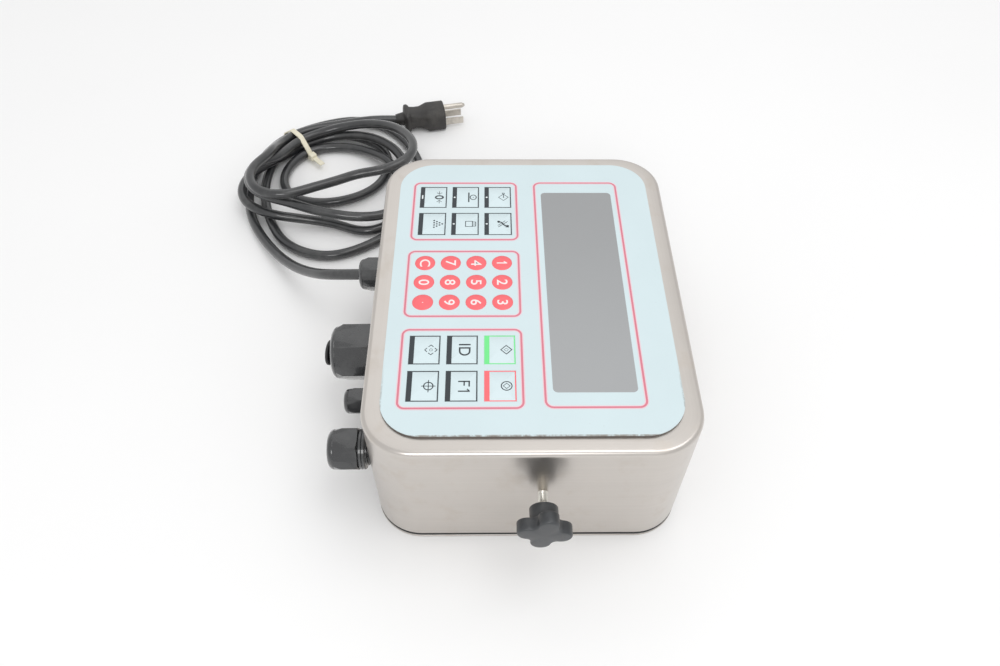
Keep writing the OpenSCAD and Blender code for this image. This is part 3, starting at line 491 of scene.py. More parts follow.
def threaded(radius, depth, pitch, low, high, sides=36, steps=8):
    """A threaded rod: radius = outer radius less the depth times a rounded saw of
    (z / pitch - angle / full turn), fading out at both ends."""
    count = max(2, int((high - low) / pitch * steps))
    z = np.linspace(low, high, count + 1)[:, None]
    angle = np.linspace(0, 2 * math.pi, sides + 1)[None, :]
    wave = np.abs(((z / pitch - angle / (2 * math.pi)) % 1) * 2 - 1)
    fade = np.clip(np.minimum(z - low, high - z) / pitch, 0, 1)
    r = radius - depth * (1 - np.clip(wave * 1.4 - 0.2, 0, 1) * fade)
    points = np.stack([r * np.cos(angle), r * np.sin(angle), z + 0 * angle], axis=2)
    return [patch(points)] + [patch(np.stack([points[i] * [0, 0, 1], points[i]])) for i in (0, -1)]


def block(width, depth, height, bevel, matrix):
    """A block with rounded edges on every side, as a slab with rounded lips, put by a matrix."""
    half = height / 2
    lip = [(bevel - bevel * math.sin(t), -half + bevel - bevel * math.cos(t))
           for t in np.linspace(0, math.pi / 2, 5)]
    profile = lip + [(inset, -z) for inset, z in reversed(lip)]
    return [moved(part, matrix) for part in closed_slab(width, depth, bevel * 1.6, profile)]


def lower_wall(x):
    """Frame on the lower wall: its Z points out of the wall along a gland's axis."""
    lean_in = math.tan(LEAN) * (PANEL_Z - GLAND_Z)
    half = bpy.context.scene.indicator_case.height / 2
    return (Matrix.Translation((x, lean_in - half, GLAND_Z))
            @ Matrix.Rotation(math.pi / 2 + LEAN, 4, "X"))


def side_wall(side):
    """Frame on a side wall, 1 right or -1 left: its Z points out along the knob's axis."""
    y, z = KNOB_PLACE
    half = bpy.context.scene.indicator_case.width / 2 - math.tan(LEAN) * (PANEL_Z - z)
    right = Matrix.Translation((half, y, z)) @ Matrix.Rotation(math.pi / 2 + LEAN, 4, "Y")
    return right if side > 0 else Matrix.Scale(-1, 4, (1, 0, 0)) @ right


# The lead's route, in millimetres and degrees

LEAD = {
    "gland_x": -58.2,
    "gland_run": (5, 14, 25),
    "free_loop": [(-60.5, -132, 46), (-67, -146, 39.5), (-79, -160, 29), (-96, -177, 18), (-116, -194, 10),
                  (-138, -210, 6), (-160, -223, 4.5), (-182, -231, 4), (-205, -235, 4), (-228, -234.5, 5),
                  (-250, -229, 5.5), (-266, -221, 5.8), (-278, -211.2, 5.65), (-291, -195, 4.6),
                  (-301, -175, 4), (-306, -152, 4), (-300, -130, 4), (-284, -110, 4), (-259, -94, 4),
                  (-228, -84.5, 4), (-196, -86, 4), (-168, -97, 4), (-144, -114, 4), (-128, -136, 4),
                  (-122, -158, 4), (-128, -180, 4), (-140, -196, 4)],
    "low_turn": [(-156, -206, 4), (-173, -213.5, 4), (-194, -219.5, 4.5), (-216, -222, 5), (-240, -220, 5.4),
                 (-257, -213.5, 5.6), (-270.7, -204.5, 5.65), (-280, -189, 5), (-284, -170, 4),
                 (-281, -150, 4), (-271, -131, 4), (-254, -118, 4), (-234, -115, 4), (-214, -120, 4.5),
                 (-199, -132, 5), (-190, -149, 5), (-187, -167, 4.4), (-190, -186, 4), (-200, -200, 4),
                 (-217, -207, 4.5), (-237, -204, 5.2), (-255.7, -191, 5.65)],
    "left_turn": [(-263, -174, 5), (-263, -154, 5.5), (-254, -134, 7), (-236, -115, 8), (-213, -103, 6),
                  (-190, -98, 4), (-171, -99, 4.5), (-155, -110, 5), (-150, -131, 5), (-160, -154, 4.6),
                  (-163, -178, 7), (-162, -199, 11.5), (-165, -216, 14.5), (-174, -230, 16), (-190, -237, 16),
                  (-207, -235, 15.5), (-222, -227, 14.5), (-236, -216, 12), (-250, -207, 8.5),
                  (-263.3, -197.8, 5.65)],
    "high_turn": [(-272, -182, 7), (-276, -163, 9), (-272, -142, 12), (-260, -122, 15), (-242, -106, 16),
                  (-219, -97, 15), (-197, -94, 14), (-176, -98, 14), (-161, -110, 15), (-155, -128, 17),
                  (-155, -148, 19), (-158, -170, 22), (-164, -190, 25), (-168, -207, 27), (-175, -220, 28),
                  (-188, -228.5, 28), (-203, -229, 27.5), (-218, -223, 26), (-231, -213, 22),
                  (-247, -205, 17.5), (-262.4, -197, 14.35)],
    "top_turn": [(-272, -180, 15), (-277, -160, 18), (-275, -138, 23), (-265, -117, 29), (-248, -101, 35),
                 (-229, -91, 39), (-210, -89.5, 41), (-196, -99, 40.5), (-189, -116, 38.5), (-188, -134, 36),
                 (-181, -152, 34), (-173, -170, 34), (-164, -186, 35), (-161, -202, 36), (-168, -217, 36.5),
                 (-184, -225, 36), (-203, -224, 33), (-222, -216, 28), (-241, -214, 21), (-257, -211, 16),
                 (-269.7, -203.7, 14.35)],
    "to_plug": [(-280, -188, 13.5), (-286, -170, 13), (-291.5, -150, 12.9), (-295, -134, 12.9),
                (-296.5, -122, 12.2)],
    "plug": (-298, -112, 11),
    "plug_turn": 12,
    "middle": (-229, -167),
    "tie_angle": 222,
    "tie_spots": [(66, 5.65), (56.1, 5.65), (46.1, 5.65), (36, 5.65), (44.9, 14.35), (54.8, 14.35)],
    "tie_width": 4.8,
    "tie_thickness": 1.4,
}


def smooth_route(points, steps):
    """Curve through points, each span a cubic of its four nearest points, never below the floor."""
    p = np.array(points, float)
    p = np.concatenate([[2 * p[0] - p[1]], p, [2 * p[-1] - p[-2]]])
    t = np.linspace(0, 1, steps, endpoint=False)[None, :, None]
    a, b, c, d = (p[i:len(p) - 3 + i][:, None, :] for i in range(4))
    route = (2 * b + (c - a) * t + (2 * a - 5 * b + 4 * c - d) * t ** 2
             + (3 * b - a - 3 * c + d) * t ** 3) / 2
    route = np.concatenate([route.reshape(-1, 3), p[-2:-1]])
    route[:, 2] = np.maximum(route[:, 2], bpy.context.scene.indicator_lead.diameter / 2)
    return route


def evenly(path, step, passes=0):
    """The same path with points an equal step apart, rounded a little if asked."""
    def spread(path):
        run = np.r_[0, np.cumsum(np.linalg.norm(np.diff(path, axis=0), axis=1))]
        at = np.linspace(0, run[-1], max(2, int(run[-1] / step)) + 1)
        return np.stack([np.interp(at, run, path[:, k]) for k in range(3)], axis=1)
    path = spread(path)
    for _ in range(passes):
        path[1:-1] = (path[:-2] + 2 * path[1:-1] + path[2:]) / 4
    return path


def settled(path, gap, step, rounds=90):
    """The path with its strands pushed apart: wherever two points that lie far apart along it
    come nearer than the gap, both move away by half of what is missing, and the moves are
    smoothed along the path, which never sinks below the floor or leaves its ends."""
    start = path.copy()
    index = np.arange(len(path))
    distant = np.abs(index[:, None] - index[None, :]) * step > 4 * gap
    hold = np.clip(np.minimum(index, len(path) - 1 - index) * step / (4 * gap), 0, 1)[:, None]
    for _ in range(rounds):
        away = path[:, None] - path[None, :]
        span = np.linalg.norm(away, axis=2) + 1e-9
        short = np.where(distant & (span < gap), (gap - span) / span, 0)
        shift = path + 0.35 * (short[:, :, None] * away).sum(axis=1) * hold - start
        shift[1:-1] = 0.15 * shift[:-2] + 0.70 * shift[1:-1] + 0.15 * shift[2:]
        path = start + shift
        path[:, 2] = np.maximum(path[:, 2], gap / 2)
    return path


def lead_path():
    """The whole lead from the gland's face through its loop and the bundle's turns to the plug."""
    lead = bpy.context.scene.indicator_lead
    wall = lower_wall(LEAD["gland_x"] * MM)
    route = [tuple(wall @ Matrix.Translation((0, 0, z * MM)).translation) for z in LEAD["gland_run"]]
    for part in ("free_loop", "low_turn", "left_turn", "high_turn", "top_turn", "to_plug"):
        route += [tuple(k * MM for k in point) for point in LEAD[part]]
    route.append(tuple(k * MM for k in LEAD["plug"]))
    step = 3 * MM
    path = evenly(smooth_route(route, 8), step, passes=8)
    path = settled(path, lead.diameter * 1.01, step)
    path = evenly(path, step, passes=2)
    path[:, 2] = np.maximum(path[:, 2], lead.diameter / 2)
    return path


def tube(path, radius, sides=20):
    """A round tube: rings square to the path, whose side vector stays level, with closed ends."""
    along = np.gradient(path, axis=0)
    along /= np.linalg.norm(along, axis=1)[:, None]
    side = np.cross(along, [0, 0, 1])
    side /= np.linalg.norm(side, axis=1)[:, None]
    up = np.cross(side, along)
    angle = np.linspace(0, 2 * math.pi, sides + 1)
    ring = side[:, None] * np.cos(angle)[None, :, None] + up[:, None] * np.sin(angle)[None, :, None]
    points = path[:, None] + radius * ring
    ends = [np.stack([np.repeat(path[i][None], sides + 1, axis=0), points[i]]) for i in (0, -1)]
    return [patch(points), patch(ends[0]), patch(ends[1])]


# Operators

CAMERA_PLACE = (0.370980, -0.025432, 0.493261)
CAMERA_RIGHT = (0.010927, 0.999893, 0.009751)
CAMERA_DOWN = (0.766210, -0.002106, -0.642587)
CAMERA_AHEAD = (-0.642497, 0.014493, -0.766151)
FOCAL_SHARE = 840.747 / 1000
SENSOR_WIDTH = 36


class INDICATOR_OT_camera(bpy.types.Operator):
    """Camera at the photograph's place and angle"""
    bl_idname = "indicator.camera"
    bl_label = "Camera"

    def execute(self, context):
        data = bpy.data.cameras.new("photo_camera")
        data.sensor_width = SENSOR_WIDTH
        data.lens = SENSOR_WIDTH * FOCAL_SHARE
        data.clip_start = 0.01
        view = bpy.data.objects.new("photo_camera", data)
        up, back = [-k for k in CAMERA_DOWN], [-k for k in CAMERA_AHEAD]
        axes = Matrix((CAMERA_RIGHT, up, back)).transposed()
        view.matrix_world = Matrix.Translation(CAMERA_PLACE) @ axes.to_4x4()
        context.scene.collection.objects.link(view)
        context.scene.camera = view
        return {"FINISHED"}


class INDICATOR_OT_stage(bpy.types.Operator):
    """Pale floor and soft studio light"""
    bl_idname = "indicator.stage"
    bl_label = "Stage"

    def execute(self, context):
        mesh = bpy.data.meshes.new("floor")
        mesh.from_pydata([(-4, -4, 0), (4, -4, 0), (4, 4, 0), (-4, 4, 0)], [], [(0, 1, 2, 3)])
        floor = bpy.data.objects.new("floor", mesh)
        context.scene.collection.objects.link(floor)
        paper = Finish("floor_paper", Roughness=0.75)
        cloud = paper.noise(paper.place(), 3, 2, 0.5)
        paper.set("Base Color", paper.blend(cloud, (0.90, 0.90, 0.90), (0.94, 0.94, 0.94)))
        mesh.materials.append(paper.material)
        world = bpy.data.worlds.new("studio")
        world.use_nodes = True
        world.node_tree.nodes["Background"].inputs["Color"].default_value = (1, 1, 1, 1)
        world.node_tree.nodes["Background"].inputs["Strength"].default_value = 0.80
        context.scene.world = world
        context.scene.view_settings.view_transform = "Standard"
        for name, place, turn, extent, power in (
                ("overhead", (0.05, 0.45, 1.5), (-14, 0, 0), 0.9, 4.6),
                ("back", (-1.25, -0.1, 1.55), (0, -40, 0), 1.3, 2.0),
                ("front", (1.25, -0.15, 1.1), (0, 49, -6), 0.55, 5)):
            light = bpy.data.lights.new(name, "AREA")
            light.size = extent
            light.energy = power
            lamp = bpy.data.objects.new(name, light)
            lamp.location = place
            lamp.rotation_euler = [math.radians(k) for k in turn]
            context.scene.collection.objects.link(lamp)
        return {"FINISHED"}


class INDICATOR_OT_case(bpy.types.Operator):
    """Drawn steel case with its rounded rim, leaning walls and rear flange"""
    bl_idname = "indicator.case"
    bl_label = "Case"

    def execute(self, context):
        case = context.scene.indicator_case
        steel = brushed_steel("case_brushed_steel", case.steel)
        depth = PANEL_Z - SHELL_Z
        lean = math.tan(LEAN)
        outer = [(30 * MM, PANEL_Z), (18 * MM, PANEL_Z), (9 * MM, PANEL_Z)]
        rim_z = PANEL_Z - case.rim
        rim_in = lean * case.rim + case.rim / math.cos(LEAN)
        turn = np.linspace(math.pi / 2, -LEAN, 9)
        outer += [(rim_in - case.rim * math.cos(t), rim_z + case.rim * math.sin(t)) for t in turn]
        levels = np.linspace(rim_z - 2 * MM, SHELL_Z + case.bend + 0.5 * MM, 12)
        outer += [(lean * (PANEL_Z - z), z) for z in levels]
        foot_in = lean * depth + case.bend
        turn = np.linspace(0, math.pi / 2, 6)
        outer += [(foot_in - case.bend * math.cos(t), SHELL_Z + case.bend - case.bend * math.sin(t))
                  for t in turn]
        outer.append((lean * depth + case.flange, SHELL_Z))
        inner = [(lean * depth + case.flange, SHELL_Z + case.sheet),
                 (lean * depth + case.sheet + 1 * MM, SHELL_Z + case.sheet),
                 (lean * (depth - 3 * MM) + case.sheet, SHELL_Z + 3 * MM),
                 (case.sheet + 2 * MM, PANEL_Z - case.sheet - 2 * MM),
                 (case.sheet + 4 * MM, PANEL_Z - case.sheet), (30 * MM, PANEL_Z - case.sheet)]
        shell = slab(case.width, case.height, case.corner, outer + inner + outer[:1])
        build("case_shell", [shell], [steel], replaces=["housing"], sharp=50)
        return {"FINISHED"}


class INDICATOR_OT_rear(bpy.types.Operator):
    """Rear cover and its gasket"""
    bl_idname = "indicator.rear"
    bl_label = "Rear cover"

    def execute(self, context):
        case = context.scene.indicator_case
        cover = size("rear_cover")
        gasket = size("rear_gasket")
        corner = case.corner - math.tan(LEAN) * (PANEL_Z - SHELL_Z)
        steel = brushed_steel("cover_brushed_steel", darker(case.steel, 0.98), grain=(3, 800))
        edge = 0.3 * MM
        top = cover.z
        profile = [(0.8 * MM, 0), (0.25 * MM, 0.25 * MM), (0, 0.7 * MM), (0, top - edge),
                   (edge * 0.3, top - edge * 0.3), (edge, top)]
        build("rear_cover_plate", closed_slab(cover.x, cover.y, corner, profile), [steel],
              replaces=["rear_cover"], sharp=50)
        rubber = soft_rubber("gasket_black_rubber", (0.012, 0.012, 0.013), 0.3)
        low, high = top, top + gasket.z
        bulge = [(0.5 * MM, low), (0.12 * MM, low + 0.2 * MM), (0, (low + high) / 2),
                 (0.12 * MM, high - 0.2 * MM), (0.5 * MM, high)]
        ring = bulge + [(14.5 * MM, high), (14.5 * MM, low), bulge[0]]
        build("rear_gasket_ring", [slab(gasket.x, gasket.y, corner, ring)], [rubber],
              replaces=["rear_gasket"], sharp=60)
        return {"FINISHED"}


def screw_head(radius, depth, recess):
    """A countersunk head with a cross recess: a dished disc whose height falls by the recess depth
    inside two crossed slots, closed by its cone."""
    rings = np.linspace(0, 1, 15)[:, None] * radius
    angle = np.linspace(0, 2 * math.pi, 61)[None, :]
    x, y = rings * np.cos(angle), rings * np.sin(angle)
    arm = np.minimum(np.maximum(np.abs(x) / recess, np.abs(y) / (recess * 0.26)),
                     np.maximum(np.abs(y) / recess, np.abs(x) / (recess * 0.26)))
    drop = np.clip((1.15 - arm) / 0.3, 0, 1) * depth * 0.55
    face = np.stack([x, y, -drop], axis=2)
    cone = turned([(radius, 0), (radius * 0.55, -depth), (0, -depth)], 60)
    return [patch(face), cone]


class INDICATOR_OT_screws(bpy.types.Operator):
    """Countersunk cross-recess screws round the rear cover"""
    bl_idname = "indicator.screws"
    bl_label = "Rear screws"

    def execute(self, context):
        node = frame["nodes"]["rear_cover_screws"]
        places = node_islands(node)
        parts = []
        for k, (x, y) in enumerate(places):
            matrix = (Matrix.Translation((x, y, 0.02 * MM)) @ Matrix.Rotation(math.pi, 4, "X")
                      @ Matrix.Rotation(0.7 * k, 4, "Z"))
            parts += [moved(part, matrix) for part in screw_head(3.2 * MM, 1.6 * MM, 2.0 * MM)]
            shank = Matrix.Translation((x, y, 0))
            parts += [moved(part, shank)
                      for part in threaded(1.7 * MM, 0.3 * MM, 0.7 * MM, 1.4 * MM, 8.9 * MM, 18, 6)]
        build("rear_screws", parts, [machined_metal("screw_bright_steel", (0.62, 0.61, 0.59))],
              replaces=["rear_cover_screws"], sharp=40)
        return {"FINISHED"}


def node_islands(node):
    """Middle (x, y) of each separate solid of a node, found by spreading labels over its edges."""
    count = len(node.data.vertices)
    places = np.empty(count * 3)
    node.data.vertices.foreach_get("co", places)
    places = places.reshape(-1, 3)
    _, same = np.unique(np.round(places, 6), axis=0, return_inverse=True)
    same = same.ravel()
    edges = np.empty(len(node.data.edges) * 2, np.int32)
    node.data.edges.foreach_get("vertices", edges)
    edges = same[edges.reshape(-1, 2)]
    label = np.arange(same.max() + 1)
    while True:
        low = np.minimum(label[edges[:, 0]], label[edges[:, 1]])
        before = label.copy()
        np.minimum.at(label, edges[:, 0], low)
        np.minimum.at(label, edges[:, 1], low)
        label = label[label]
        if (label == before).all():
            break
    groups = label[same]
    return [tuple((places[groups == g, :2].min(0) + places[groups == g, :2].max(0)) / 2)
            for g in np.unique(groups)]


class INDICATOR_OT_front(bpy.types.Operator):
    """Front film with its printed frames, the window and the layers under the film"""
    bl_idname = "indicator.front"
    bl_label = "Front film"

    def execute(self, context):
        panel = context.scene.indicator_panel
        # The brownish colour is the painted shade along the film's right-hand edge.
        dress("overlay", front_film("film_pale_blue", panel.film, (0.26, 0.23, 0.20)))
        dress("membrane_base", printed_film("membrane_layers_grey", (0.115, 0.095, 0.085)))
        dress("display_window", window_plastic("window_smoked", panel.window))
        ink = printed_film("frame_ink_rose", panel.frame, 0.36)
        halo = printed_film("frame_halo_pink", panel.halo, 0.36)
        parts = []
        for left, right, low, high, radius in (
                (-96.7, -38.7, -76.7, -5.3, 4.2), (-27.5, 29.3, -77.0, -5.2, 4.2),
                (40.2, 98.3, -77.0, -5.2, 4.2), (-96.9, 97.9, 7.5, 65.3, 4.6)):
            wide, tall = (right - left) * MM, (high - low) * MM
            at = ((left + right) / 2 * MM, (low + high) / 2 * MM)
            for share, lift, finish in ((1.0, 0.03, 0), (2.0, 0.015, 1)):
                rings = [rounded_outline(wide, tall, radius * MM, inset) + np.array(at)
                         for inset in (panel.line * share / 2, -panel.line * share / 2)]
                ring = np.array([np.c_[r, np.full(len(r), FILM_Z + lift * MM)] for r in rings])
                parts.append(patch(ring, finish, sheet=True, flip=True))
        build("printed_frames", parts, [ink, halo])
        return {"FINISHED"}


def dress(node, material):
    """Gives a carried-over node its finish."""
    mesh = frame["nodes"][node].data
    mesh.materials.clear()
    mesh.materials.append(material)


class Pen:
    """Draws flat printed shapes, in millimetres round a place, as patches just above a key."""

    def __init__(self, at, z, finish):
        self.at = np.array(at)
        self.z = z
        self.finish = finish
        self.parts = []

    def shape(self, points, faces):
        points = np.asarray(points, float) * MM + self.at
        self.parts.append(flat_patch(points, faces, self.z, self.finish))

    def area(self, outline):
        """A filled outline."""
        outline = np.asarray(outline, float)
        (x, y), (next_x, next_y) = outline.T, np.roll(outline, -1, axis=0).T
        counterclockwise = np.sum(x * next_y - next_x * y) > 0
        self.shape(outline if counterclockwise else outline[::-1], [tuple(range(len(outline)))])

    def line(self, points, width, joined=False):
        """A stroke along points, mitred at its corners."""
        p = np.asarray(points, float)
        before = np.roll(p, 1, axis=0) if joined else np.concatenate([[2 * p[0] - p[1]], p[:-1]])
        after = np.roll(p, -1, axis=0) if joined else np.concatenate([p[1:], [2 * p[-1] - p[-2]]])
        first, second = p - before, after - p
        first /= np.linalg.norm(first, axis=1)[:, None]
        second /= np.linalg.norm(second, axis=1)[:, None]
        normal = np.stack([-(first + second)[:, 1], (first + second)[:, 0]], axis=1)
        normal /= np.linalg.norm(normal, axis=1)[:, None]
        square = np.stack([-first[:, 1], first[:, 0]], axis=1)
        reach = width / 2 / np.maximum((normal * square).sum(axis=1), 0.5)[:, None]
        both = np.stack([p - normal * reach, p + normal * reach], axis=1).reshape(-1, 2)
        n = len(p)
        self.shape(both, [(2 * i, 2 * ((i + 1) % n), 2 * ((i + 1) % n) + 1, 2 * i + 1)
                          for i in range(n if joined else n - 1)])

    def ring(self, x, y, radius, width, squash=1.0):
        t = np.linspace(0, 2 * math.pi, 40, endpoint=False)
        self.line(np.stack([x + radius * squash * np.cos(t), y + radius * np.sin(t)], axis=1), width, True)

    def dot(self, x, y, radius):
        t = np.linspace(0, 2 * math.pi, 20, endpoint=False)
        self.area(np.stack([x + radius * np.cos(t), y + radius * np.sin(t)], axis=1))

    def text(self, letters, height, x=0.0, y=0.0, bold=0.02, stretch=1.0):
        """Plain digits or letters, centred; a 9 is a 6 turned half round."""
        turned_over = letters == "9"
        curve = bpy.data.curves.new("letters", "FONT")
        curve.body = "6" if turned_over else letters
        curve.offset = bold
        holder = bpy.data.objects.new("letters", curve)
        bpy.context.scene.collection.objects.link(holder)
        mesh = bpy.data.meshes.new_from_object(holder)
        points = np.array([v.co[:2] for v in mesh.vertices])
        faces = [tuple(p.vertices) for p in mesh.polygons]
        bpy.data.objects.remove(holder)
        bpy.data.curves.remove(curve)
        bpy.data.meshes.remove(mesh)
        low, high = points.min(0), points.max(0)
        points = (points - (low + high) / 2) * (height / (high[1] - low[1])) * [stretch, 1]
        points = (-points if turned_over else points) + [x, y]
        self.shape(points, faces)


class INDICATOR_OT_number_keys(bpy.types.Operator):
    """Round number keys with their digits, one piece for each key"""
    bl_idname = "indicator.number_keys"
    bl_label = "Number keys"

    def execute(self, context):
        panel = context.scene.indicator_panel
        coral = printed_film("round_key_coral", panel.coral, 0.38, 0.03)
        pale = printed_film("digit_pale", (0.86, 0.80, 0.79), 0.38, 0.02)
        for node, digit in NUMBER_KEYS.items():
            place = centre(node)
            low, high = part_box(node)[0].z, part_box(node)[1].z
            profile = [(0, low), (panel.round_key - 0.05 * MM, low), (panel.round_key, low + 0.1 * MM),
                       (panel.round_key, high - 0.06 * MM), (panel.round_key - 0.06 * MM, high),
                       (0, high)]
            cap = moved(turned(profile, 72), Matrix.Translation((place.x, place.y, 0)))
            pen = Pen((place.x, place.y), high + 0.02 * MM, 1)
            tall = panel.digit / MM
            if digit == ".":
                pen.dot(0, 0, 0.35)
            elif digit == "1":
                pen.area([(-0.45, -tall / 2), (0.5, -tall / 2), (0.5, tall / 2), (-0.25, tall / 2),
                          (-1.5, tall / 2 - 1.6), (-1.5, tall / 2 - 2.5), (-0.45, tall / 2 - 1.75)])
            else:
                pen.text(digit, tall, bold=0.010, stretch=1.10)
            build(node + "_print", [cap] + pen.parts, [coral, pale], node + "_pad", [node],
                  60)
        return {"FINISHED"}


def draw_icon(pen, node):
    """The symbol of one function key, in millimetres from the key's middle, +Y up."""
    if node == "key_zero":
        pen.ring(0, 4.0, 2.6, 1.15, 0.62)
        for side in (-1, 1):
            pen.line([(side * 6.3, 4.0), (side * 3.4, 4.0)], 0.4)
            pen.line([(side * 4.9, 5.8), (side * 3.2, 4.0), (side * 4.9, 2.2)], 0.4)
    elif node == "key_print":
        pen.ring(0, 5.3, 2.1, 0.6, 1.15)
        pen.line([(-5.0, 2.2), (5.0, 2.2)], 0.95)
        pen.dot(0, 5.3, 0.35)
    elif node == "key_tare":
        pen.line([(0, 7.4), (3.4, 4.0), (0, 0.6), (-3.4, 4.0)], 0.38, True)
        for x, y in ((-4.3, 3.5), (-4.3, 4.6), (-2.8, 4.1), (-0.2, 4.1)):
            pen.dot(x, y, 0.52)
        pen.line([(-2.4, 4.1), (-0.2, 4.1)], 0.35)
    elif node == "key_sample":
        for row in range(4):
            for k in range(row + 1):
                pen.dot((k - row / 2) * 2.2, 6.9 - row * 1.85, 0.66)
    elif node == "key_units":
        pen.line([(-2.6, 0.3), (-2.6, 5.0), (2.6, 5.0), (2.6, 0.3)], 0.5, True)
        pen.line([(-1.9, 5.0), (-1.9, 7.2), (2.2, 7.2), (2.2, 5.0)], 0.5)
        pen.line([(-0.6, 6.1), (1.2, 6.1)], 0.4)
    elif node == "key_select":
        t = np.linspace(-1, 1, 25)
        pen.line(np.stack([1.9 * np.sin(t * 2.4), 3.4 + 3.2 * t], axis=1), 1.0)
        pen.line([(3.0, 0.2), (-2.4, 6.6)], 0.45)
        pen.line([(1.6, -0.2), (-3.2, 5.0)], 0.4)
        pen.dot(-2.2, 0.4, 0.95)
        pen.area([(1.2, 7.4), (3.6, 7.2), (3.2, 4.6)])
    elif node == "key_start":
        pen.line([(0, 7.2), (3.3, 3.9), (0, 0.6), (-3.3, 3.9)], 0.55, True)
        pen.line([(0, 5.2), (1.2, 3.9), (0, 2.6), (-1.2, 3.9)], 0.22, True)
    elif node == "key_setup":
        for turn in range(4):
            c, s = round(math.cos(turn * math.pi / 2)), round(math.sin(turn * math.pi / 2))
            tip = [(2.3, 1.5), (3.7, 0), (2.3, -1.5)]
            pen.line([(c * a - s * b, 3.8 + s * a + c * b) for a, b in tip], 0.5)
        pen.ring(0, 3.8, 0.9, 0.25)
    elif node == "key_stop":
        pen.ring(0, 3.7, 3.1, 0.6)
        pen.line([(0, 5.7), (1.9, 3.7), (0, 1.7), (-1.9, 3.7)], 0.35, True)
    elif node == "key_target":
        pen.ring(0, 3.4, 2.7, 0.65)
        pen.line([(-4.4, 3.4), (4.4, 3.4)], 0.5)
        pen.line([(0, -0.7), (0, 7.5)], 0.5)
    elif node == "key_identity":
        pen.text("ID", 7.0, y=1.5, bold=0.004)
    elif node == "key_function":
        pen.line([(-3.3, -1.9), (-3.3, 4.9)], 0.9)
        pen.line([(-3.7, 4.5), (0.4, 4.5)], 0.85)
        pen.line([(-3.3, 1.6), (-0.2, 1.6)], 0.8)
        pen.line([(3.7, -1.9), (3.7, 4.9)], 0.9)
        pen.line([(3.7, 4.7), (2.1, 3.3)], 0.7)


class INDICATOR_OT_function_keys(bpy.types.Operator):
    """Near-square function keys with their printed borders, bars and symbols"""
    bl_idname = "indicator.function_keys"
    bl_label = "Function keys"

    def execute(self, context):
        panel = context.scene.indicator_panel
        field = printed_film("key_field_pale", (0.65, 0.765, 0.795), 0.36, 0.02)
        slate = printed_film("key_ink_slate", panel.slate, 0.4, 0.06)
        green = printed_film("key_ink_green", panel.green, 0.4, 0.04)
        coral = printed_film("key_ink_coral", panel.coral, 0.4, 0.04)
        white = printed_film("key_ink_white", (0.80, 0.86, 0.87), 0.4, 0.02)
        for node in FUNCTION_KEYS:
            place, extent = centre(node), size(node)
            low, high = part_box(node)[0].z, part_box(node)[1].z
            wide, tall = extent.x + 0.32 * MM, extent.y + 0.32 * MM
            profile = [(0.05 * MM, low), (0, low + 0.05 * MM), (0, high - 0.05 * MM), (0.05 * MM, high)]
            parts = closed_slab(wide, tall, 0.4 * MM, profile, (place.x, place.y))
            edge = {"key_start": green, "key_stop": coral}.get(node, slate)
            x, y = wide / 2 / MM - 0.1, tall / 2 / MM - 0.1
            bar = 0.165 * 2 * y
            pen = Pen((place.x, place.y), high + 0.02 * MM, 1)
            pen.area([(-x, -y), (x, -y), (x, -y + bar), (-x, -y + bar)])
            thin = 0.36
            pen.line([(-x + thin, -y + bar), (-x + thin, y - thin), (x - thin, y - thin),
                      (x - thin, -y + bar)], 2 * thin)
            marks = Pen((place.x, place.y), high + 0.04 * MM, 2)
            if node in ("key_tare", "key_print", "key_select", "key_units"):
                marks.dot(0, -y + bar / 2, 0.7)
            elif node == "key_zero":
                marks.line([(-2.2, -y + bar / 2), (1.6, -y + bar / 2)], 0.9)
            icon = Pen((place.x, place.y), high + 0.03 * MM, 3)
            draw_icon(icon, node)
            build(node + "_print", parts + pen.parts + marks.parts + icon.parts,
                  [field, edge, white, slate], node + "_pad", [node], 60)
        return {"FINISHED"}


def lobed_radius(angle, knob):
    """Radius of the lobed outline at an angle: four lobes joined by hollows that touch them,
    found on each ray by halving, as the far side of lobes, core and hollows together."""
    lobe_at = knob.reach - knob.lobe
    bite = knob.valley - knob.lobe
    hollow_at = (lobe_at ** 2 - bite ** 2) / (math.sqrt(2) * lobe_at - 2 * bite)
    hollow_r = hollow_at - knob.valley
    folded = np.abs((angle + math.pi / 4) % (math.pi / 2) - math.pi / 4)
    low, high = np.full_like(angle, knob.valley * 0.5), np.full_like(angle, knob.reach * 1.1)
    slope = math.atan2(hollow_at * math.sin(math.pi / 4),
                       hollow_at * math.cos(math.pi / 4) - lobe_at)
    for _ in range(40):
        r = (low + high) / 2
        x, y = r * np.cos(folded), r * np.sin(folded)
        in_lobe = np.hypot(x - lobe_at, y) < knob.lobe
        in_hollow = np.hypot(x - hollow_at * math.cos(math.pi / 4),
                             y - hollow_at * math.sin(math.pi / 4)) < hollow_r
        bearing = np.arctan2(y, x - lobe_at)
        core = (bearing > slope) & ~in_hollow
        inside = in_lobe | (core & (r < hollow_at))
        low, high = np.where(inside, r, low), np.where(inside, high, r)
    return low


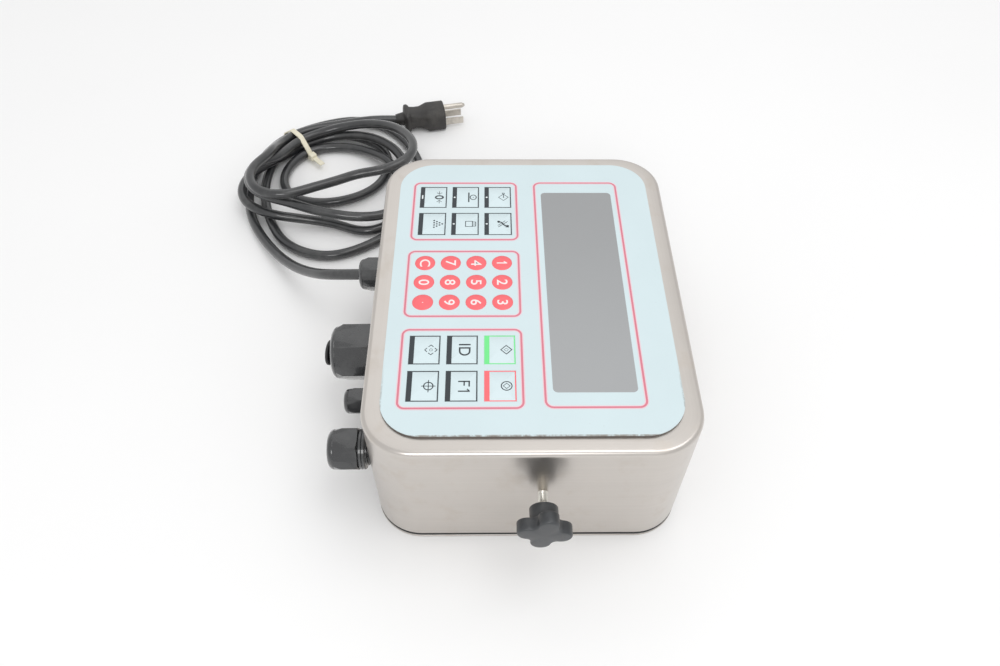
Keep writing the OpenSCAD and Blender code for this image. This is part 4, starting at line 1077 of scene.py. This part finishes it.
class INDICATOR_OT_knobs(bpy.types.Operator):
    """Four-lobed clamping knobs, left and right, each with its threaded stud"""
    bl_idname = "indicator.knobs"
    bl_label = "Clamping knobs"

    def execute(self, context):
        knob = context.scene.indicator_knob
        plastic = moulded_plastic("knob_black_plastic", knob.plastic, 0.36, 0.45, 1300, 0.3)
        bright = machined_metal("stud_bright_steel", (0.78, 0.76, 0.70), 0.20)
        for side, name in ((1, "right"), (-1, "left")):
            wall = side_wall(side)
            head_low = knob.gap + knob.hub_length
            head_high = head_low + knob.head
            angle = np.linspace(0, 2 * math.pi, 181)
            outline = lobed_radius(angle - knob.turn, knob)
            round_r, soft = 1.5 * MM, np.linspace(0, math.pi / 2, 7)
            offsets = [(-6.5 * MM, head_low), (-2.5 * MM, head_low)]
            offsets += [(-0.8 * MM * (1 - math.sin(t)), head_low + 0.8 * MM * (1 - math.cos(t)))
                        for t in soft]
            offsets += [(0, (head_low + head_high) / 2)]
            offsets += [(-round_r * (1 - math.cos(t)),
                         head_high - round_r - 0.35 * MM + round_r * math.sin(t)) for t in soft]
            grid = [np.stack([(outline + o) * np.cos(angle), (outline + o) * np.sin(angle),
                              np.full_like(angle, z)], axis=1) for o, z in offsets]
            last = outline - round_r
            for share in (0.8, 0.6, 0.4, 0.2, 0.0):
                z = head_high - 0.35 * MM * share ** 2
                grid.append(np.stack([last * share * np.cos(angle), last * share * np.sin(angle),
                                      np.full_like(angle, z)], axis=1))
            bore = knob.stud + 0.05 * MM
            hub = ([(bore, knob.gap + 7 * MM), (bore, knob.gap), (knob.hub - 0.6 * MM, knob.gap)]
                   + arc(knob.hub - 0.6 * MM, knob.gap + 0.6 * MM, 0.6 * MM, -90, 0)
                   + [(knob.hub, head_low - 0.5 * MM), (knob.hub, head_low + 0.3 * MM)])
            inner = np.stack([knob.hub * 0.9 * np.cos(angle), knob.hub * 0.9 * np.sin(angle),
                              np.full_like(angle, head_low + 0.3 * MM)], axis=1)
            head = patch(np.array([inner] + grid))
            parts = [moved(head, wall), moved(turned(hub, 72), wall)]
            build("clamping_knob_" + name, parts, [plastic], "turn_" + name, ["knob_" + name],
                  38)
            rod = threaded(knob.stud, 0.35 * MM, 1.0 * MM, -13 * MM, knob.gap + 8 * MM, 36, 8)
            build("clamping_stud_" + name, [moved(part, wall) for part in rod], [bright],
                  "stud_" + name, ["knob_stud_" + name], 40)
        return {"FINISHED"}


GLAND_SIZES = ("x", "thread", "flats", "seat", "flange", "reach", "dome", "mouth", "bore")
GLANDS = {
    "power": (-58.2, 8, 22, 0, 4.2, 21.6, 5.4, 4.6, 3.85),
    "large": (14.8, 12.5, 35, 0, 5.5, 32.8, 6.6, 7.4, 5),
    "small": (55.3, 6, 16, 0, 4.2, 20.4, 5.4, 3.4, 2.5),
    "medium": (91.5, 10, 25, 3, 4.2, 26.3, 7, 6.2, 5),
}


def hexed(profile, flats, sides=96):
    """A turned profile cut down to a hexagon, in millimetres."""
    return turned([(r * MM, z * MM) for r, z in profile], sides, flats * MM)


class INDICATOR_OT_glands(bpy.types.Operator):
    """Cable glands: flange with its thread, domed hexagonal cap and seal, four sizes"""
    bl_idname = "indicator.glands"
    bl_label = "Cable glands"

    def execute(self, context):
        gland = context.scene.indicator_gland
        nylon = moulded_plastic("gland_black_nylon", gland.nylon, 0.22, 0.50, 900, 1.0)
        seal = soft_rubber("seal_black_rubber", (0.016, 0.016, 0.017), 0.35)
        seals = []
        for name, sizes in GLANDS.items():
            g = dict(zip(GLAND_SIZES, sizes))
            wall = lower_wall(g["x"] * MM)
            corner = g["flats"] / 2 / math.cos(math.pi / 6)
            neck = g["flats"] * 0.40
            cap_z = g["seat"] + g["flange"] + 0.4
            shoulder = g["reach"] - g["dome"]
            seat, flange = g["seat"], g["seat"] + g["flange"]
            disc = g["flats"] / 2
            body = [(g["bore"], -10), (g["thread"] - 0.6, -10), (g["thread"] - 0.6, seat),
                    (disc - 0.5, seat), (disc, seat + 0.5), (disc, seat + g["flange"] * 0.42),
                    (disc - 0.45, seat + g["flange"] * 0.5), (disc, seat + g["flange"] * 0.58),
                    (disc, flange - 0.5), (disc - 0.5, flange), (neck, flange),
                    (neck, shoulder - 0.1), (g["bore"], shoulder - 0.1), (g["bore"], -10)]
            parts = [moved(hexed(body, 0), wall)]
            thread = threaded(g["thread"] * MM, 0.6 * MM, gland.thread_pitch, -10 * MM,
                              max(seat, 0.05) * MM, 48, 8)
            parts += [moved(part, wall) for part in thread[:1]]
            build("gland_base_" + name, parts, [nylon], replaces=["gland_body_" + name],
                  sharp=35)
            face = g["mouth"] + (corner - g["mouth"]) * 0.3
            edge = gland.edge / MM
            cone = g["dome"] * 0.42
            dome = [(corner + 0.15, shoulder - g["dome"] * 0.25), (disc + 0.12, shoulder + cone),
                    (disc - 0.15, shoulder + cone + 0.1)]
            turn = np.radians(np.linspace(8, 90, 17))
            dome += [(face + (disc - face) * math.cos(t),
                      shoulder + cone + (g["dome"] - cone) * math.sin(t)) for t in turn]
            chamfer = [(disc - 0.6 + (corner + 0.2 - disc + 0.6) * k / 8, cap_z + 0.9 * (k / 8) ** 2)
                       for k in range(9)]
            cap = [(neck + 0.1, cap_z + 2), (neck + 0.1, cap_z)] + chamfer
            cap += dome
            mouth = g["mouth"]
            lip = [(mouth + edge * (1 - math.sin(t)) + 0.02, g["reach"] - edge + edge * math.cos(t))
                   for t in np.linspace(0, math.pi / 2, 5)]
            cap += lip + [(mouth, g["reach"] - 1.5), (mouth, shoulder + 0.3), (neck + 0.1, shoulder),
                          (neck + 0.1, cap_z + 2)]
            build("gland_nut_" + name, [moved(hexed(cap, g["flats"], 132), wall)], [nylon],
                  replaces=["gland_cap_" + name], sharp=28)
            sleeve, bore = neck * 0.84, g["bore"]
            if name != "large":
                ring = [(bore, cap_z + 0.1), (sleeve, cap_z + 0.1), (sleeve, shoulder - 0.1),
                        (bore + 0.8, shoulder + 0.5), (bore, shoulder), (bore, cap_z + 0.1)]
                seals.append(moved(hexed(ring, 0), wall))
                continue
            tilt = math.radians(8)
            head_z = g["reach"] + 1 + 8.5 * math.sin(tilt) + 0.02
            stem = [(0, cap_z), (bore, cap_z), (bore, head_z), (0, head_z)]
            plug = [(0, -1), (8.1, -1), (8.5, -0.6), (8.5, 0.6), (8.1, 1), (0, 1)]
            ring = [(bore, cap_z + 0.1), (sleeve, cap_z + 0.1), (sleeve, shoulder - 0.1), (bore, shoulder)]
            tipped = Matrix.Translation((0, 0, head_z * MM)) @ Matrix.Rotation(-tilt, 4, "Y")
            seals += [moved(hexed(stem, 0), wall), moved(hexed(ring, 0), wall),
                      moved(hexed(plug, 0), wall @ tipped)]
        build("gland_inserts", seals, [seal], replaces=["gland_seals"], sharp=35)
        return {"FINISHED"}


class INDICATOR_OT_lead(bpy.types.Operator):
    """Mains lead from the gland through its loop and tied bundle to the plug, with tie and plug"""
    bl_idname = "indicator.lead"
    bl_label = "Mains lead"

    def execute(self, context):
        lead = context.scene.indicator_lead
        jacket = soft_rubber("lead_black_jacket", lead.jacket, 0.85, 0.8)
        path = lead_path()
        cord = build("mains_lead", tube(path, lead.diameter / 2), [jacket],
                     replaces=["power_cord", "cord_coil"], sharp=60)
        tie = self.cable_tie(lead)
        plug = self.plug()
        return {"FINISHED"}

    def cable_tie(self, lead):
        """Strap round the strands: the outline of all strands' circles pushed out, as
        centre(direction) + radius * direction, with a rounded band section; then head and tail."""
        nylon = moulded_plastic("tie_cream_nylon", lead.tie, 0.40, 0.12, 1200)
        angle = LEAD["tie_angle"]
        middle = np.array(LEAD["middle"]) * MM
        spots = np.array(LEAD["tie_spots"]) * MM
        t = np.linspace(0, 2 * math.pi, 121)
        ahead = np.stack([np.cos(t), np.sin(t)], axis=1)
        nearest = np.argmax(spots @ ahead.T, axis=0)
        thick, wide = LEAD["tie_thickness"] * MM, LEAD["tie_width"] * MM
        inner = lead.diameter / 2 + 0.1 * MM
        soft = 0.35 * MM
        section = [(0, -wide / 2 + soft), (0, wide / 2 - soft), (soft, wide / 2), (thick - soft, wide / 2),
                   (thick, wide / 2 - soft), (thick, -wide / 2 + soft), (thick - soft, -wide / 2),
                   (soft, -wide / 2), (0, -wide / 2 + soft)]
        rows = [np.c_[spots[nearest] + ahead * (inner + out), np.full(len(t), z)] for out, z in section]
        head = LEAD["tie_width"] * 1.3 * MM
        inside = spots[3]
        left = inside[0] - inner - thick
        parts = [patch(np.array(rows))]
        parts += block(head, head, head, 0.8 * MM, Matrix.Translation((left - head / 2, inside[1], 0)))
        tail = 3 * head
        parts += block(tail, thick, wide, 0.4 * MM,
                       Matrix.Translation((left - tail / 2, inside[1], 0)))
        at = (Matrix.Translation((*middle, 0)) @ Matrix.Rotation(math.radians(angle), 4, "Z")
              @ Matrix.Rotation(math.pi / 2, 4, "X"))
        return build("bundle_tie", [moved(part, at) for part in parts], [nylon],
                     replaces=["cable_tie"], sharp=50)

    def plug(self):
        """Moulded plug: sections across its length are rounded rectangles whose half width and
        half thickness follow the body's outline, narrower towards the top, behind a round relief and
        a raised collar."""
        rubber = moulded_plastic("plug_dark_rubber", (0.030, 0.028, 0.027), 0.45, 0.6, 1100)
        at = (Matrix.Translation([k * MM for k in LEAD["plug"]])
              @ Matrix.Rotation(math.radians(LEAD["plug_turn"]), 4, "Z"))
        stations = [(0, 4.8, 4.8, 2, 0), (2, 5.3, 5.3, 2, 0), (7.4, 6.3, 6.3, 2, 0),
                    (7.9, 9.4, 8.6, 2.6, 0), (8.5, 11.2, 10.3, 3.2, 0), (9.4, 11.7, 10.8, 3.6, 0),
                    (11.4, 11.7, 10.8, 3.6, 0),
                    (12.4, 11.1, 10.2, 3.4, 0), (13.6, 9.5, 9.0, 3.2, 0), (18, 9.1, 8.4, 3.2, 0),
                    (23, 9.8, 8.4, 3.4, 0.1), (27, 11.6, 9.6, 4, 0.2), (29.2, 12.7, 10.7, 4.6, 0.32),
                    (30.4, 13, 10.95, 5, 0.36), (44.9, 13, 10.95, 5, 0.36), (45.7, 12.6, 10.6, 5, 0.36),
                    (46, 12, 10, 5, 0.36)]
        angle = np.linspace(0, 2 * math.pi, 65)
        rows = []
        for along, wide, tall, power, narrow in stations:
            c, s = np.cos(angle), np.sin(angle)
            z = tall * np.sign(s) * np.abs(s) ** (2 / power)
            x = wide * np.sign(c) * np.abs(c) ** (2 / power) * (1 - narrow * np.clip(z / tall, 0, 1) ** 2)
            rows.append(np.stack([x, np.full_like(x, along), z], axis=1) * MM)
        rows = [rows[0] * [0, 1, 0]] + rows + [rows[-1] * [0, 1, 0]]
        return build("plug_moulding", [moved(patch(np.array(rows)), at)], [rubber],
                     replaces=["plug_body"], sharp=42)


class INDICATOR_OT_inside(bpy.types.Operator):
    """Finishes for the boards, transformer, inserts and other pieces held inside"""
    bl_idname = "indicator.inside"
    bl_label = "Inside"

    def execute(self, context):
        laminate = board_laminate("board_green_laminate")
        for node in ("display_board", "main_board"):
            dress(node, laminate)
        dress("plug_blades", machined_metal("blade_plated_brass", (0.66, 0.62, 0.56), 0.3))
        dress("key_domes", machined_metal("dome_spring_steel", (0.7, 0.7, 0.7), 0.22))
        dress("display_glass", window_plastic("glass_dark", (0.03, 0.034, 0.03)))
        dress("terminal_blocks", moulded_plastic("terminal_green", (0.03, 0.22, 0.07), 0.4, 0.1))
        dress("board_standoffs", machined_metal("standoff_brass", (0.66, 0.48, 0.22), 0.3))
        dress("board_screws", machined_metal("board_screw_steel", (0.6, 0.6, 0.58)))
        dress("transformer", machined_metal("transformer_laminations", (0.24, 0.23, 0.22), 0.5))
        dress("keypad_ribbon", printed_film("ribbon_amber", (0.62, 0.50, 0.30), 0.3))
        dress("side_inserts", machined_metal("insert_steel", (0.56, 0.55, 0.52)))
        dress("gland_locknuts", moulded_plastic("locknut_black_nylon", (0.014, 0.015, 0.016), 0.35))
        return {"FINISHED"}


SETTINGS = (("indicator_case", CaseSettings), ("indicator_panel", PanelSettings),
            ("indicator_knob", KnobSettings), ("indicator_gland", GlandSettings),
            ("indicator_lead", LeadSettings))

OPERATORS = (INDICATOR_OT_camera, INDICATOR_OT_lead, INDICATOR_OT_stage, INDICATOR_OT_case,
             INDICATOR_OT_rear, INDICATOR_OT_screws, INDICATOR_OT_front, INDICATOR_OT_number_keys,
             INDICATOR_OT_function_keys, INDICATOR_OT_knobs, INDICATOR_OT_glands, INDICATOR_OT_inside)


class INDICATOR_PT_panel(bpy.types.Panel):
    """Lists the indicator's settings and the operators that make its pieces"""
    bl_idname = "INDICATOR_PT_panel"
    bl_label = "Weighing Indicator"
    bl_space_type = "VIEW_3D"
    bl_region_type = "UI"
    bl_category = "Indicator"

    def draw(self, context):
        for name, group in SETTINGS:
            box = self.layout.box()
            for key in group.__annotations__:
                box.prop(getattr(context.scene, name), key)
        for operator in OPERATORS:
            self.layout.operator(operator.bl_idname)


def register():
    for name, group in SETTINGS:
        bpy.utils.register_class(group)
        setattr(bpy.types.Scene, name, bpy.props.PointerProperty(type=group))
    for cls in (*OPERATORS, INDICATOR_PT_panel):
        bpy.utils.register_class(cls)


def unregister():
    for cls in reversed((*OPERATORS, INDICATOR_PT_panel)):
        bpy.utils.unregister_class(cls)
    for name, group in reversed(SETTINGS):
        delattr(bpy.types.Scene, name)
        bpy.utils.unregister_class(group)


def main():
    """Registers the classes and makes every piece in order."""
    register()
    for operator in OPERATORS:
        kind, name = operator.bl_idname.split(".")
        getattr(getattr(bpy.ops, kind), name)()


if __name__ == "__main__":
    main()
